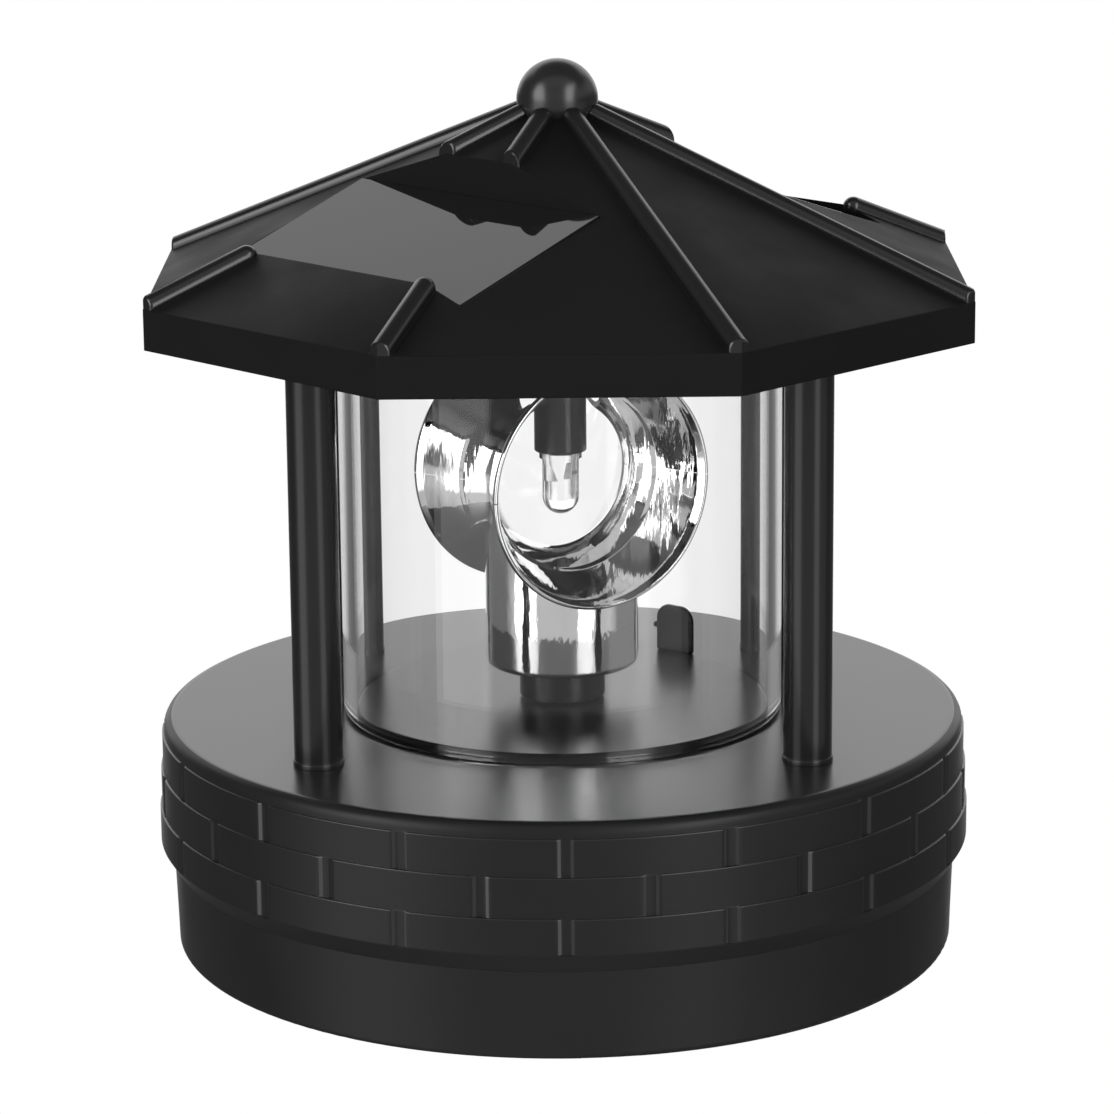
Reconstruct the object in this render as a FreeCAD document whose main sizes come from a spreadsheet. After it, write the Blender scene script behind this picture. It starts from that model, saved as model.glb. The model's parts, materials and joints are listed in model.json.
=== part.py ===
import FreeCAD, Part
import math
import os

import Sketcher

# A solar lighthouse lamp head.  A round base with a moulded brick band carries a clear drum, in
# which a mirror with two horns turns round a lamp hanging from the roof.  Millimetres and degrees.
# The origin is the centre of the flat underside, +Z is up and -Y is the front.

V = FreeCAD.Vector
Z_AXIS = V(0, 0, 1)
os.makedirs("parts", exist_ok=True)
doc = FreeCAD.newDocument("lamp_head")
sheet = doc.addObject("Spreadsheet::Sheet", "Sizes")


# ---------------------------------------------------------------------------------------------
# Sizes.  Each is written once, here, and reaches the features through formulas on this sheet.
# ---------------------------------------------------------------------------------------------

class Size:
    """A number together with the sheet formula that gives it."""

    def __init__(self, value, formula):
        self.value = float(value)
        self.formula = formula

    def __add__(self, other):
        other = as_size(other)
        return Size(self.value + other.value, f"({self.formula} + {other.formula})")

    def __sub__(self, other):
        other = as_size(other)
        return Size(self.value - other.value, f"({self.formula} - {other.formula})")

    def __mul__(self, other):
        other = as_size(other)
        return Size(self.value * other.value, f"({self.formula} * {other.formula})")

    def __truediv__(self, other):
        other = as_size(other)
        return Size(self.value / other.value, f"({self.formula} / {other.formula})")

    def __neg__(self):
        return Size(-self.value, f"(-1 * {self.formula})")

    def __float__(self):
        return self.value


def as_size(number):
    return number if isinstance(number, Size) else Size(number, repr(float(number)))


def cos(angle):
    angle = as_size(angle)
    return Size(math.cos(math.radians(angle.value)), f"cos({angle.formula})")


def sin(angle):
    angle = as_size(angle)
    return Size(math.sin(math.radians(angle.value)), f"sin({angle.formula})")


def tan(angle):
    angle = as_size(angle)
    return Size(math.tan(math.radians(angle.value)), f"tan({angle.formula})")


sheet_row = 0


def size(name, value):
    """Writes one driving size on the sheet and hands it back."""
    global sheet_row
    sheet_row += 1
    sheet.set(f"A{sheet_row}", name)
    sheet.set(f"B{sheet_row}", str(value))
    sheet.setAlias(f"B{sheet_row}", name)
    return Size(value, f"Sizes.{name}")


# Fits and gaps
slip_gap = size("slip_gap", 0.05)              # a spinning shaft in its hole, radial
snug_gap = size("snug_gap", 0.02)              # a pressed or threaded piece in its hole, radial
loose_gap = size("loose_gap", 0.3)             # between mouldings that only meet loosely

# Base housing: the deck and the brick band
rim_radius = size("rim_radius", 54.7)
rim_round = size("rim_round", 1.5)
deck_top = size("deck_top", 32.0)
deck_thickness = size("deck_thickness", 2.0)
housing_wall = size("housing_wall", 2.5)
course_step = size("course_step", 0.27)        # each course stands this much prouder than the one above
course_line_1 = size("course_line_1", 30.0)    # heights of the four horizontal joints
course_line_2 = size("course_line_2", 25.0)
course_line_3 = size("course_line_3", 19.6)
course_line_4 = size("course_line_4", 14.8)
bricks_round = 16                              # bricks in each course
joint_width = size("joint_width", 1.7)
joint_depth = size("joint_depth", 0.3)
seam_height = size("seam_height", 12.1)        # where the housing meets the plinth
seam_inset = size("seam_inset", 0.9)            # the band tucks in by this below its last course

# Plinth: the lower half of the base
plinth_step = size("plinth_step", 0.05)        # the plinth stands in from the band by this
plinth_draft = size("plinth_draft", 0.4)      # and tapers by this down to the foot
foot_round = size("foot_round", 0.8)
foot_ring_width = size("foot_ring_width", 4.5)
floor_recess = size("floor_recess", 1.0)
floor_thickness = size("floor_thickness", 2.0)
spigot_height = size("spigot_height", 5.5)
spigot_wall = size("spigot_wall", 2.2)

# Clear drum and its seats
glass_radius = size("glass_radius", 30.05)
glass_wall = size("glass_wall", 1.75)
glass_seat_gap = size("glass_seat_gap", 0.15)
boss_height = size("boss_height", 1.3)
collar_depth = size("collar_depth", 3.0)
collar_wall = size("collar_wall", 1.4)
tab_angle = size("tab_angle", 53.0)            # direction of the locating tab, from +X
tab_width = size("tab_width", 6.1)
tab_thickness = size("tab_thickness", 1.2)
tab_gap = size("tab_gap", 0.2)                 # from the boss's edge in to the tab's flat face
tab_height = size("tab_height", 6.7)
tab_round = size("tab_round", 1.6)

# Four posts, two at the front and two at the back
post_radius = size("post_radius", 3.22)
post_bore = size("post_bore", 1.9)
post_spigot_radius = size("post_spigot_radius", 2.7)
post_spigot_length = size("post_spigot_length", 3.4)
post_circle = size("post_circle", 42.5)
post_angle = size("post_angle", 49.0)          # each side of the front and of the back
post_collar_height = size("post_collar_height", 0.8)
post_collar_step = size("post_collar_step", 0.15)

# Roof
roof_corner_radius = size("roof_corner_radius", 58.24)
eave_height = size("eave_height", 86.4)
fascia_height = size("fascia_height", 5.4)
roof_pitch = size("roof_pitch", 24.05)
roof_wall = size("roof_wall", 2.0)
roof_cap_height = size("roof_cap_height", 106.0)   # above this the roof's crown is solid
rib_radius = size("rib_radius", 1.45)
finial_radius = size("finial_radius", 5.45)
finial_height = size("finial_height", 115.4)
finial_stem_radius = size("finial_stem_radius", 2.0)

# Solar panels and their pockets
panel_inner = size("panel_inner", 14.8)        # plan distance from the axis to the high edge
panel_outer = size("panel_outer", 39.8)        # plan distance from the axis to the low edge
panel_half_width = size("panel_half_width", 22.5)
panel_pitch = size("panel_pitch", 18.06)
panel_low_height = size("panel_low_height", 96.15)  # height of the panel's face at its low edge
panel_thickness = size("panel_thickness", 1.8)
panel_gap = size("panel_gap", 0.15)
pocket_floor = size("pocket_floor", 1.6)
panel_wire_hole = size("panel_wire_hole", 1.2)

# Ceiling plate under the roof
ceiling_bottom = size("ceiling_bottom", 88.0)
ceiling_thickness = size("ceiling_thickness", 2.0)
ceiling_gap = size("ceiling_gap", 0.2)
roof_screw_circle = size("roof_screw_circle", 42.0)
roof_boss_radius = size("roof_boss_radius", 3.0)

# Lamp and its holder
holder_radius = size("holder_radius", 3.55)
holder_bore = size("holder_bore", 2.3)
holder_bottom = size("holder_bottom", 67.8)
holder_flange_radius = size("holder_flange_radius", 5.5)
holder_flange_height = size("holder_flange_height", 1.2)
led_radius = size("led_radius", 2.5)
led_flange_radius = size("led_flange_radius", 2.9)
led_flange_height = size("led_flange_height", 1.0)
led_length = size("led_length", 8.8)
lead_width = size("lead_width", 0.5)
lead_spacing = size("lead_spacing", 2.54)
lead_length = size("lead_length", 18.0)
anvil_height = size("anvil_height", 2.2)

# Turning mirror
mirror_turn = size("mirror_turn", 30.6)        # front horn's direction, to the right of the front
cup_radius = size("cup_radius", 10.45)
cup_wall = size("cup_wall", 1.0)
cup_bottom = size("cup_bottom", 38.25)
cup_round = size("cup_round", 0.6)
horn_height = size("horn_height", 64.6)
horn_wall = size("horn_wall", 0.7)
throat_radius = size("throat_radius", 10.0)
step_radius = size("step_radius", 12.45)
step_reach = size("step_reach", 4.0)
mouth_radius = size("mouth_radius", 16.6)
mouth_reach = size("mouth_reach", 11.3)
lip_thickness = size("lip_thickness", 0.9)
crown_hole = size("crown_hole", 5.5)

# Hub, shaft and bush
hub_radius = size("hub_radius", 5.85)
hub_socket_depth = size("hub_socket_depth", 5.6)
plug_thickness = size("plug_thickness", 3.0)
plug_recess = size("plug_recess", 0.6)
shaft_radius = size("shaft_radius", 1.5)
bush_radius = size("bush_radius", 3.0)
bush_flange_radius = size("bush_flange_radius", 4.5)
bush_flange_height = size("bush_flange_height", 1.0)

# Gear train
tooth_module = size("tooth_module", 0.6)
wheel_teeth = 48
pinion_teeth = 12
tooth_backlash = size("tooth_backlash", 0.14)
gear_width = size("gear_width", 2.5)
motor_gear_level = size("motor_gear_level", 20.0)
output_gear_level = size("output_gear_level", 24.0)
idler_pin_radius = size("idler_pin_radius", 1.0)
gear_plate_level = size("gear_plate_level", 17.0)
gear_plate_thickness = size("gear_plate_thickness", 1.6)
standoff_radius = size("standoff_radius", 2.8)

# Motor
motor_radius = size("motor_radius", 7.75)
motor_height = size("motor_height", 11.0)
motor_shaft_radius = size("motor_shaft_radius", 0.75)
motor_boss_radius = size("motor_boss_radius", 2.4)

# Battery, its bay and door
cell_radius = size("cell_radius", 7.25)
cell_length = size("cell_length", 50.5)
cell_nub_radius = size("cell_nub_radius", 2.7)
cell_nub_length = size("cell_nub_length", 1.2)
bay_wall = size("bay_wall", 1.2)
bay_centre = size("bay_centre", -27.0)         # distance of the cell's axis from the lamp's axis
bay_side_gap = size("bay_side_gap", 0.75)
bay_top_gap = size("bay_top_gap", 0.5)
contact_thickness = size("contact_thickness", 0.5)
contact_width = size("contact_width", 9.0)
contact_tag_width = size("contact_tag_width", 2.0)
contact_tag_rise = size("contact_tag_rise", 1.6)
spring_length = size("spring_length", 4.5)
spring_radius = size("spring_radius", 3.2)
spring_wire = size("spring_wire", 0.35)
spring_turns = 3
door_thickness = size("door_thickness", 1.6)
door_pin_radius = size("door_pin_radius", 0.6)
door_pin_length = size("door_pin_length", 1.5)

# Slide switch
switch_x = size("switch_x", 34.0)
switch_y = size("switch_y", 2.0)
switch_length = size("switch_length", 10.0)
switch_width = size("switch_width", 6.0)
switch_height = size("switch_height", 4.5)
slider_travel = size("slider_travel", 2.5)
knob_length = size("knob_length", 2.6)
knob_width = size("knob_width", 1.8)
knob_proud = size("knob_proud", 0.5)

# Circuit board
board_x = size("board_x", -28.5)
board_y = size("board_y", 10.0)
board_width = size("board_width", 19.0)
board_length = size("board_length", 36.0)
board_thickness = size("board_thickness", 1.6)
board_level = size("board_level", 8.0)
board_screw_pitch = size("board_screw_pitch", 29.0)

# Screws that hold the two halves of the base
case_screw_inset = size("case_screw_inset", 6.4)   # from the housing's inner wall
case_screw_angle = size("case_screw_angle", 20.0)
case_boss_radius = size("case_boss_radius", 3.2)
case_tube_radius = size("case_tube_radius", 4.4)
case_head_level = size("case_head_level", 8.0)
case_joint_level = size("case_joint_level", 12.0)

wire_radius = size("wire_radius", 0.55)

doc.recompute()

# Sizes that follow from the ones above
course_radius_1 = rim_radius + course_step
course_radius_2 = course_radius_1 + course_step
course_radius_3 = course_radius_2 + course_step
deck_bottom = deck_top - deck_thickness
housing_bore = rim_radius - housing_wall
seam_radius = rim_radius - seam_inset
plinth_top_radius = seam_radius - plinth_step
plinth_foot_radius = plinth_top_radius - plinth_draft
case_screw_circle = housing_bore - case_screw_inset
floor_top = floor_recess + floor_thickness
spigot_radius = housing_bore - loose_gap
plinth_bore = spigot_radius - spigot_wall
boss_top = deck_top + boss_height
boss_radius = glass_radius - glass_wall - glass_seat_gap
ceiling_top = ceiling_bottom + ceiling_thickness
corner_cosine = cos(22.5)
roof_apothem = roof_corner_radius * corner_cosine
fascia_top = eave_height + fascia_height
roof_slope = tan(roof_pitch)
roof_apex = fascia_top + roof_apothem * roof_slope
inner_apothem = roof_apothem - roof_wall
inner_apex = roof_apex - roof_wall / cos(roof_pitch)
gear_centres = tooth_module * ((wheel_teeth + pinion_teeth) / 2)
hub_bottom = boss_top + loose_gap
led_tip = holder_bottom - led_length
bay_half_length = (cell_length + spring_length) / 2 + contact_thickness
bay_half_width = cell_radius + bay_side_gap
cell_axis_height = floor_recess + door_thickness + 0.4 + cell_radius
bay_inner_top = cell_axis_height + cell_radius + bay_top_gap
opening_width = bay_half_width * 2 + 1.2
opening_length = bay_half_length * 2 + 1.2
door_gap = loose_gap
door_pivot_y = bay_centre + opening_width / 2 - door_gap - door_thickness / 2
door_pivot_z = floor_recess + door_thickness / 2

# The battery's length along X, from the positive contact back to the spring
cell_plus_x = bay_half_length - contact_thickness
cell_minus_x = cell_plus_x - cell_length


# ---------------------------------------------------------------------------------------------
# Helpers
# ---------------------------------------------------------------------------------------------

def bind(feature, **sizes):
    """Ties properties of a feature to the sheet."""
    for prop, value in sizes.items():
        value = as_size(value)
        setattr(feature, prop, value.value)
        if "Sizes." in value.formula:
            feature.setExpression(prop, value.formula)
    return feature


def put(feature, x=0, y=0, z=0, rotation=None):
    """Places a feature: its position is tied to the sheet, its turn is a plain rotation."""
    x, y, z = as_size(x), as_size(y), as_size(z)
    feature.Placement = FreeCAD.Placement(V(x.value, y.value, z.value), rotation or FreeCAD.Rotation())
    for letter, value in (("x", x), ("y", y), ("z", z)):
        if "Sizes." in value.formula:
            feature.setExpression(f"Placement.Base.{letter}", value.formula)
    return feature


def turn_z(angle):
    return FreeCAD.Rotation(Z_AXIS, float(angle))


def cylinder(name, radius, height, x=0, y=0, z=0, rotation=None):
    feature = bind(doc.addObject("Part::Cylinder", name), Radius=radius, Height=height)
    return put(feature, x, y, z, rotation)


def box(name, length, width, height, x=0, y=0, z=0):
    """A box whose x and y are its middle and whose z is its underside."""
    feature = bind(doc.addObject("Part::Box", name), Length=length, Width=width, Height=height)
    return put(feature, as_size(x) - as_size(length) / 2, as_size(y) - as_size(width) / 2, z)


def cut(name, base, *tools):
    for number, tool in enumerate(tools):
        step = doc.addObject("Part::Cut", f"{name}_{number}" if number < len(tools) - 1 else name)
        step.Base, step.Tool = base, tool
        base = step
    return base


def fuse(name, *shapes):
    feature = doc.addObject("Part::MultiFuse", name)
    feature.Shapes = list(shapes)
    return feature


def common(name, first, second):
    feature = doc.addObject("Part::MultiCommon", name)
    feature.Shapes = [first, second]
    return feature


def group(name, *shapes):
    """Identical separate pieces kept as one sub-part."""
    feature = doc.addObject("Part::Compound", name)
    feature.Links = list(shapes)
    return feature


def origin_plane(body, role):
    return next(f for f in body.Origin.OriginFeatures if f.Role == role)


def outline(body, name, role, points):
    """A closed outline of straight edges, each corner held by two sheet-driven distances."""
    sketch = body.newObject("Sketcher::SketchObject", name)
    sketch.AttachmentSupport = [(origin_plane(body, role), "")]
    sketch.MapMode = "FlatFace"
    corners = [(as_size(x), as_size(y)) for x, y in points]
    flat = [V(x.value, y.value, 0) for x, y in corners]
    count = len(flat)
    sketch.addGeometry([Part.LineSegment(flat[i], flat[(i + 1) % count]) for i in range(count)], False)
    sketch.addConstraint([Sketcher.Constraint("Coincident", i, 2, (i + 1) % count, 1) for i in range(count)])
    for i, (x, y) in enumerate(corners):
        hold(sketch, "DistanceX", -2, i, x)
        hold(sketch, "DistanceY", -1, i, y)
    return sketch


def hold(sketch, kind, axis, corner, value):
    if abs(value.value) < 1e-9:
        sketch.addConstraint(Sketcher.Constraint("PointOnObject", corner, 1, axis))
        return
    index = sketch.addConstraint(Sketcher.Constraint(kind, -1, 1, corner, 1, value.value))
    if "Sizes." in value.formula:
        sketch.setExpression(f"Constraints[{index}]", value.formula)


def turned(label, points):
    """A body turned about its Z axis from an outline of (radius, height) corners."""
    body = doc.addObject("PartDesign::Body", label + "_body")
    sketch = outline(body, label + "_outline", "XZ_Plane", points)
    feature = body.newObject("PartDesign::Revolution", label + "_turned")
    feature.Profile = sketch
    feature.ReferenceAxis = (sketch, ["V_Axis"])
    feature.Angle = 360
    body.Label = label
    sketch.Visibility = False
    doc.recompute()
    return body


def round_edges(body, name, radius, wanted):
    """Rounds the circular edges of a body's tip whose (radius, height) the test accepts."""
    tip = body.Tip
    names = []
    for number, edge in enumerate(tip.Shape.Edges, 1):
        if edge.Curve.TypeId == "Part::GeomCircle" and wanted(edge.Curve.Radius, edge.Curve.Center.z):
            names.append(f"Edge{number}")
    fillet = body.newObject("PartDesign::Fillet", name)
    fillet.Base = (tip, names)
    bind(fillet, Radius=radius)
    doc.recompute()
    return fillet


def near(value, target):
    return abs(value - float(target)) < 0.02


finished = {}


def keep(label, feature):
    """Marks a feature as a finished sub-part of the lamp."""
    feature.Label = label
    finished[label] = feature
    return feature


def solid(label, shape):
    """A sub-part whose form no listed feature makes."""
    feature = doc.addObject("Part::Feature", label + "_solid")
    feature.Shape = shape
    return feature


def screw(name, head_radius, head_height, shank_radius, length, x, y, seat, up):
    """A pan-head screw with a cross recess: its head sits at seat, its shank points up or down."""
    seat = as_size(seat)
    head_z = seat - head_height if up else seat
    shank_z = seat if up else seat - length
    head = cylinder(name + "_head", head_radius, head_height, x, y, head_z)
    shank = cylinder(name + "_shank", shank_radius, length, x, y, shank_z)
    recess_depth = head_height * 0.55
    outer_face = seat - head_height if up else seat + head_height - recess_depth
    slots = []
    for number, (long_side, short_side) in enumerate(((1.15, 0.3), (0.3, 1.15))):
        slot_length = head_radius * long_side
        slot_width = head_radius * short_side
        slots.append(box(f"{name}_slot{number}", slot_length, slot_width, recess_depth, x, y, outer_face))
    return cut(name, fuse(name + "_blank", head, shank), fuse(name + "_cross", *slots))


def round_places(radius, angles):
    """Points on a circle as sheet-driven pairs."""
    return [(radius * cos(angle), radius * sin(angle)) for angle in angles]


# ---------------------------------------------------------------------------------------------
# Base housing
# ---------------------------------------------------------------------------------------------

case_screw_angles = (
    case_screw_angle, as_size(180) - case_screw_angle,
    as_size(180) + case_screw_angle, as_size(360) - case_screw_angle,
)
case_screw_places = round_places(case_screw_circle, case_screw_angles)
post_side = post_circle * sin(post_angle)
post_reach = post_circle * cos(post_angle)
POSTS = {
    "post_front_left": (-post_side, -post_reach), "post_front_right": (post_side, -post_reach),
    "post_rear_left": (-post_side, post_reach), "post_rear_right": (post_side, post_reach),
}
post_places = list(POSTS.values())
standoff_places = [(-19.5, 5.0), (19.5, 5.0), (-13.0, 40.0), (13.0, 40.0)]
idler_place = (as_size(0), gear_centres)
motor_place = (as_size(0), gear_centres * 2)


def joint_grooves(body, name, radius, bottom, top, phase):
    """The upright joints of one brick course: a shallow slot repeated round the band."""
    slot = body.newObject("PartDesign::SubtractiveBox", name + "_joint")
    bind(slot, Length=joint_depth + 2, Width=joint_width, Height=top - bottom)
    half = joint_width / 2
    inner = radius - joint_depth
    turn = FreeCAD.Placement(V(0, 0, 0), turn_z(phase))
    place = FreeCAD.Placement(V(inner.value, -half.value, bottom.value), FreeCAD.Rotation())
    slot.AttachmentSupport = [(origin_plane(body, "XY_Plane"), "")]
    slot.MapMode = "FlatFace"
    slot.AttachmentOffset = turn.multiply(place)
    doc.recompute()
    pattern = body.newObject("PartDesign::PolarPattern", name + "_round")
    pattern.Originals = [slot]
    pattern.Axis = (origin_plane(body, "Z_Axis"), [""])
    pattern.Angle = 360
    pattern.Occurrences = bricks_round
    body.Tip = pattern
    doc.recompute()


def base_housing():
    body = turned("base_shell", [
        (0, boss_top), (boss_radius, boss_top), (boss_radius, deck_top), (rim_radius, deck_top),
        (rim_radius, course_line_1), (course_radius_1, course_line_1),
        (course_radius_1, course_line_2), (course_radius_2, course_line_2),
        (course_radius_2, course_line_3), (course_radius_3, course_line_3),
        (course_radius_3, course_line_4), (seam_radius, seam_height),
        (housing_bore, seam_height), (housing_bore, deck_bottom), (0, deck_bottom),
    ])
    round_edges(body, "rim_edge", rim_round, lambda r, z: near(r, rim_radius) and near(z, deck_top))
    half_brick = 180 / bricks_round
    joint_grooves(body, "course_1", course_radius_1, course_line_2, course_line_1, 0)
    joint_grooves(body, "course_2", course_radius_2, course_line_3, course_line_2, half_brick)
    joint_grooves(body, "course_3", course_radius_3, course_line_4, course_line_3, 0)

    added = []
    through = deck_thickness + boss_height + 2
    removed = [cylinder("bush_hole", bush_radius + snug_gap, through, 0, 0, deck_bottom - 1)]
    boss_drop = deck_bottom - case_joint_level
    for n, (x, y) in enumerate(case_screw_places):
        added.append(cylinder(f"case_boss{n}", case_boss_radius, boss_drop, x, y, case_joint_level))
        pilot = case_shank + snug_gap
        removed.append(cylinder(f"case_pilot{n}", pilot, case_screw_length, x, y, case_joint_level - 1))
    drop = deck_bottom - gear_plate_level - gear_plate_thickness
    for n, (x, y) in enumerate(standoff_places):
        level = gear_plate_level + gear_plate_thickness
        added.append(cylinder(f"standoff{n}", standoff_radius, drop, x, y, level))
        pilot = small_shank + snug_gap
        removed.append(cylinder(f"standoff_pilot{n}", pilot, plate_screw_length, x, y, level - 1))
    idler_boss_level = output_gear_level + gear_width + 0.5
    drop = deck_bottom - idler_boss_level
    added.append(cylinder("idler_boss", idler_pin_radius * 3, drop, *idler_place, idler_boss_level))
    socket = idler_pin_radius + snug_gap
    removed.append(cylinder("idler_socket", socket, drop, *idler_place, idler_boss_level - 0.5))
    for n, (x, y) in enumerate(post_places):
        level = deck_top - post_spigot_length
        sleeve = post_spigot_length - deck_thickness
        socket = post_spigot_radius + snug_gap
        added.append(cylinder(f"post_sleeve{n}", post_spigot_radius + 1.6, sleeve, x, y, level))
        removed.append(cylinder(f"post_socket{n}", socket, post_spigot_length + 2, x, y, level - 1))
    blank = fuse("housing_blank", body, *added, locating_tab())
    return keep("base_housing", cut("housing", blank, fuse("housing_holes", *removed)))


def locating_tab():
    """An upright tongue just inside the drum, with its two top corners rounded."""
    inner = boss_radius - tab_gap - tab_thickness
    half = tab_width / 2
    square = tab_height - tab_round
    turn = turn_z(tab_angle)
    places = []
    lower = bind(
        doc.addObject("Part::Box", "tab_lower"), Length=tab_thickness, Width=tab_width, Height=square,
    )
    middle = tab_width - tab_round * 2
    upper = bind(
        doc.addObject("Part::Box", "tab_upper"), Length=tab_thickness, Width=middle, Height=tab_height,
    )
    start = V(inner.value, -half.value, boss_top.value)
    lower.Placement = FreeCAD.Placement(turn.multVec(start), turn)
    start = V(inner.value, -half.value + tab_round.value, boss_top.value)
    upper.Placement = FreeCAD.Placement(turn.multVec(start), turn)
    along = FreeCAD.Rotation(V(0, 1, 0), 90)
    for n, side in enumerate((-1, 1)):
        corner = bind(
            doc.addObject("Part::Cylinder", f"tab_corner{n}"), Radius=tab_round, Height=tab_thickness,
        )
        middle = V(inner.value, side * (half.value - tab_round.value), boss_top.value + square.value)
        corner.Placement = FreeCAD.Placement(turn.multVec(middle), turn.multiply(along))
        places.append(corner)
    return fuse("locating_tab", lower, upper, *places)


# ---------------------------------------------------------------------------------------------
# Screws
# ---------------------------------------------------------------------------------------------

case_shank = size("case_shank", 1.25)
case_screw_length = size("case_screw_length", 14.0)
small_shank = size("small_shank", 1.0)
plate_screw_length = size("plate_screw_length", 8.0)
board_screw_length = size("board_screw_length", 5.0)
roof_screw_length = size("roof_screw_length", 5.5)
motor_screw_length = size("motor_screw_length", 2.6)
motor_screw_shank = size("motor_screw_shank", 0.8)
motor_screw_offset = size("motor_screw_offset", 5.0)
doc.recompute()


def screw_set(label, places, head_radius, head_height, shank, length, seat, up):
    pieces = []
    for n, (x, y) in enumerate(places):
        pieces.append(screw(f"{label}_{n}", head_radius, head_height, shank, length, x, y, seat, up))
    return keep(label, group(label + "_set", *pieces))


board_screw_places = [
    (board_x, board_y - board_screw_pitch / 2), (board_x, board_y + board_screw_pitch / 2),
]
roof_screw_places = round_places(roof_screw_circle, (0, 90, 180, 270))
motor_screw_places = [(-motor_screw_offset, motor_place[1]), (motor_screw_offset, motor_place[1])]


# ---------------------------------------------------------------------------------------------
# Plinth, battery bay, door, cell and contacts
# ---------------------------------------------------------------------------------------------

def plinth_cup():
    foot_ring_inner = plinth_foot_radius - foot_ring_width
    body = turned("plinth_shell", [
        (foot_ring_inner, 0), (plinth_foot_radius, 0), (plinth_top_radius, seam_height),
        (spigot_radius, seam_height), (spigot_radius, seam_height + spigot_height),
        (plinth_bore, seam_height + spigot_height), (plinth_bore, floor_top), (0, floor_top),
        (0, floor_recess), (foot_ring_inner, floor_recess),
    ])
    round_edges(body, "foot_edge", foot_round, lambda r, z: near(r, plinth_foot_radius) and near(z, 0))
    added, removed = [], []
    bay_height = bay_inner_top + bay_wall - floor_recess
    outer_length = opening_length + bay_wall * 2
    outer_width = opening_width + bay_wall * 2
    opening_depth = floor_recess + door_thickness + 0.2
    added.append(box("bay_block", outer_length, outer_width, bay_height, 0, bay_centre, floor_recess))
    removed.append(box("bay_space", bay_half_length * 2, bay_half_width * 2, bay_inner_top, 0, bay_centre, 0))
    removed.append(box("door_opening", opening_length, opening_width, opening_depth, 0, bay_centre, 0))
    for side in (-1, 1):
        slot_x = (bay_half_length - contact_thickness / 2) * side
        tag_slot_length = contact_thickness + 0.5
        tag_slot_width = contact_tag_width + 0.6
        removed.append(box(
            f"tag_slot{side + 1}", tag_slot_length, tag_slot_width, bay_wall + 1, slot_x, bay_centre,
            bay_inner_top - 0.5,
        ))
        inner_end = (opening_length / 2 - door_gap) * side
        length = door_pin_length * 2
        bore = cylinder(
            f"door_pin_hole{side + 1}", door_pin_radius + slip_gap, length, inner_end - length / 2,
            door_pivot_y, door_pivot_z, FreeCAD.Rotation(V(0, 1, 0), 90),
        )
        removed.append(bore)
    for n, (x, y) in enumerate(case_screw_places):
        added.append(
            cylinder(f"case_tube{n}", case_tube_radius, case_joint_level - floor_recess, x, y, floor_recess)
        )
        removed.append(cylinder(f"head_well{n}", case_head_radius + loose_gap, case_head_level, x, y, 0))
        removed.append(cylinder(f"shank_hole{n}", case_shank + 0.2, case_joint_level + 1, x, y, 0))
    for n, (x, y) in enumerate(board_screw_places):
        added.append(cylinder(f"board_boss{n}", board_boss_radius, board_level - floor_top, x, y, floor_top))
        removed.append(
            cylinder(f"board_pilot{n}", board_shank + snug_gap, board_screw_length, x, y, floor_top + 0.6)
        )
    slot_length = knob_length + slider_travel + loose_gap * 2
    removed.append(
        box("switch_slot", slot_length, knob_width + loose_gap * 2, floor_top + 1, switch_x, switch_y, 0)
    )
    blank = fuse("plinth_blank", body, *added)
    return keep("plinth_cup", cut("plinth", blank, fuse("plinth_spaces", *removed)))


case_head_radius = size("case_head_radius", 2.6)
board_boss_radius = size("board_boss_radius", 2.5)
board_shank = size("board_shank", 0.9)
doc.recompute()


def battery_door():
    """A plate with one edge rounded about its pivot and a pin at each end of that edge."""
    length = opening_length - door_gap * 2
    free_edge = bay_centre - opening_width / 2 + door_gap
    plate_width = door_pivot_y - free_edge
    middle = free_edge + plate_width / 2
    plate = box("door_plate", length, plate_width, door_thickness, 0, middle, floor_recess)
    sideways = FreeCAD.Rotation(V(0, 1, 0), 90)
    knuckle = cylinder(
        "door_knuckle", door_thickness / 2, length, -(length / 2), door_pivot_y, door_pivot_z, sideways,
    )
    pin_length = length + door_pin_length * 1.6
    pins = cylinder(
        "door_pins", door_pin_radius, pin_length, -(pin_length / 2), door_pivot_y, door_pivot_z, sideways,
    )
    notch = cylinder("finger_notch", 5.0, 1.0, 0, free_edge, floor_recess - 0.4)
    return keep("battery_door", cut("door", fuse("door_blank", plate, knuckle, pins), notch))


def battery():
    sideways = FreeCAD.Rotation(V(0, 1, 0), 90)
    can_length = cell_length - cell_nub_length
    can = cylinder("cell_can", cell_radius, can_length, cell_minus_x, bay_centre, cell_axis_height, sideways)
    nub = cylinder(
        "cell_nub", cell_nub_radius, cell_nub_length, cell_plus_x - cell_nub_length, bay_centre,
        cell_axis_height, sideways,
    )
    keep("battery_cell", fuse("cell", can, nub))
    low = cell_axis_height - contact_width / 2
    inner = contact_thickness / 2
    tag_height = bay_inner_top + bay_wall + contact_tag_rise - cell_axis_height
    for name, x in (("plus", bay_half_length - inner), ("minus", inner - bay_half_length)):
        plate = box(f"{name}_plate", contact_thickness, contact_width, contact_width, x, bay_centre, low)
        tag = box(
            f"{name}_tag", contact_thickness, contact_tag_width, tag_height, x, bay_centre,
            cell_axis_height,
        )
        keep(f"battery_contact_{name}", fuse(f"{name}_contact", plate, tag))
    keep("battery_spring", spring())


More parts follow.
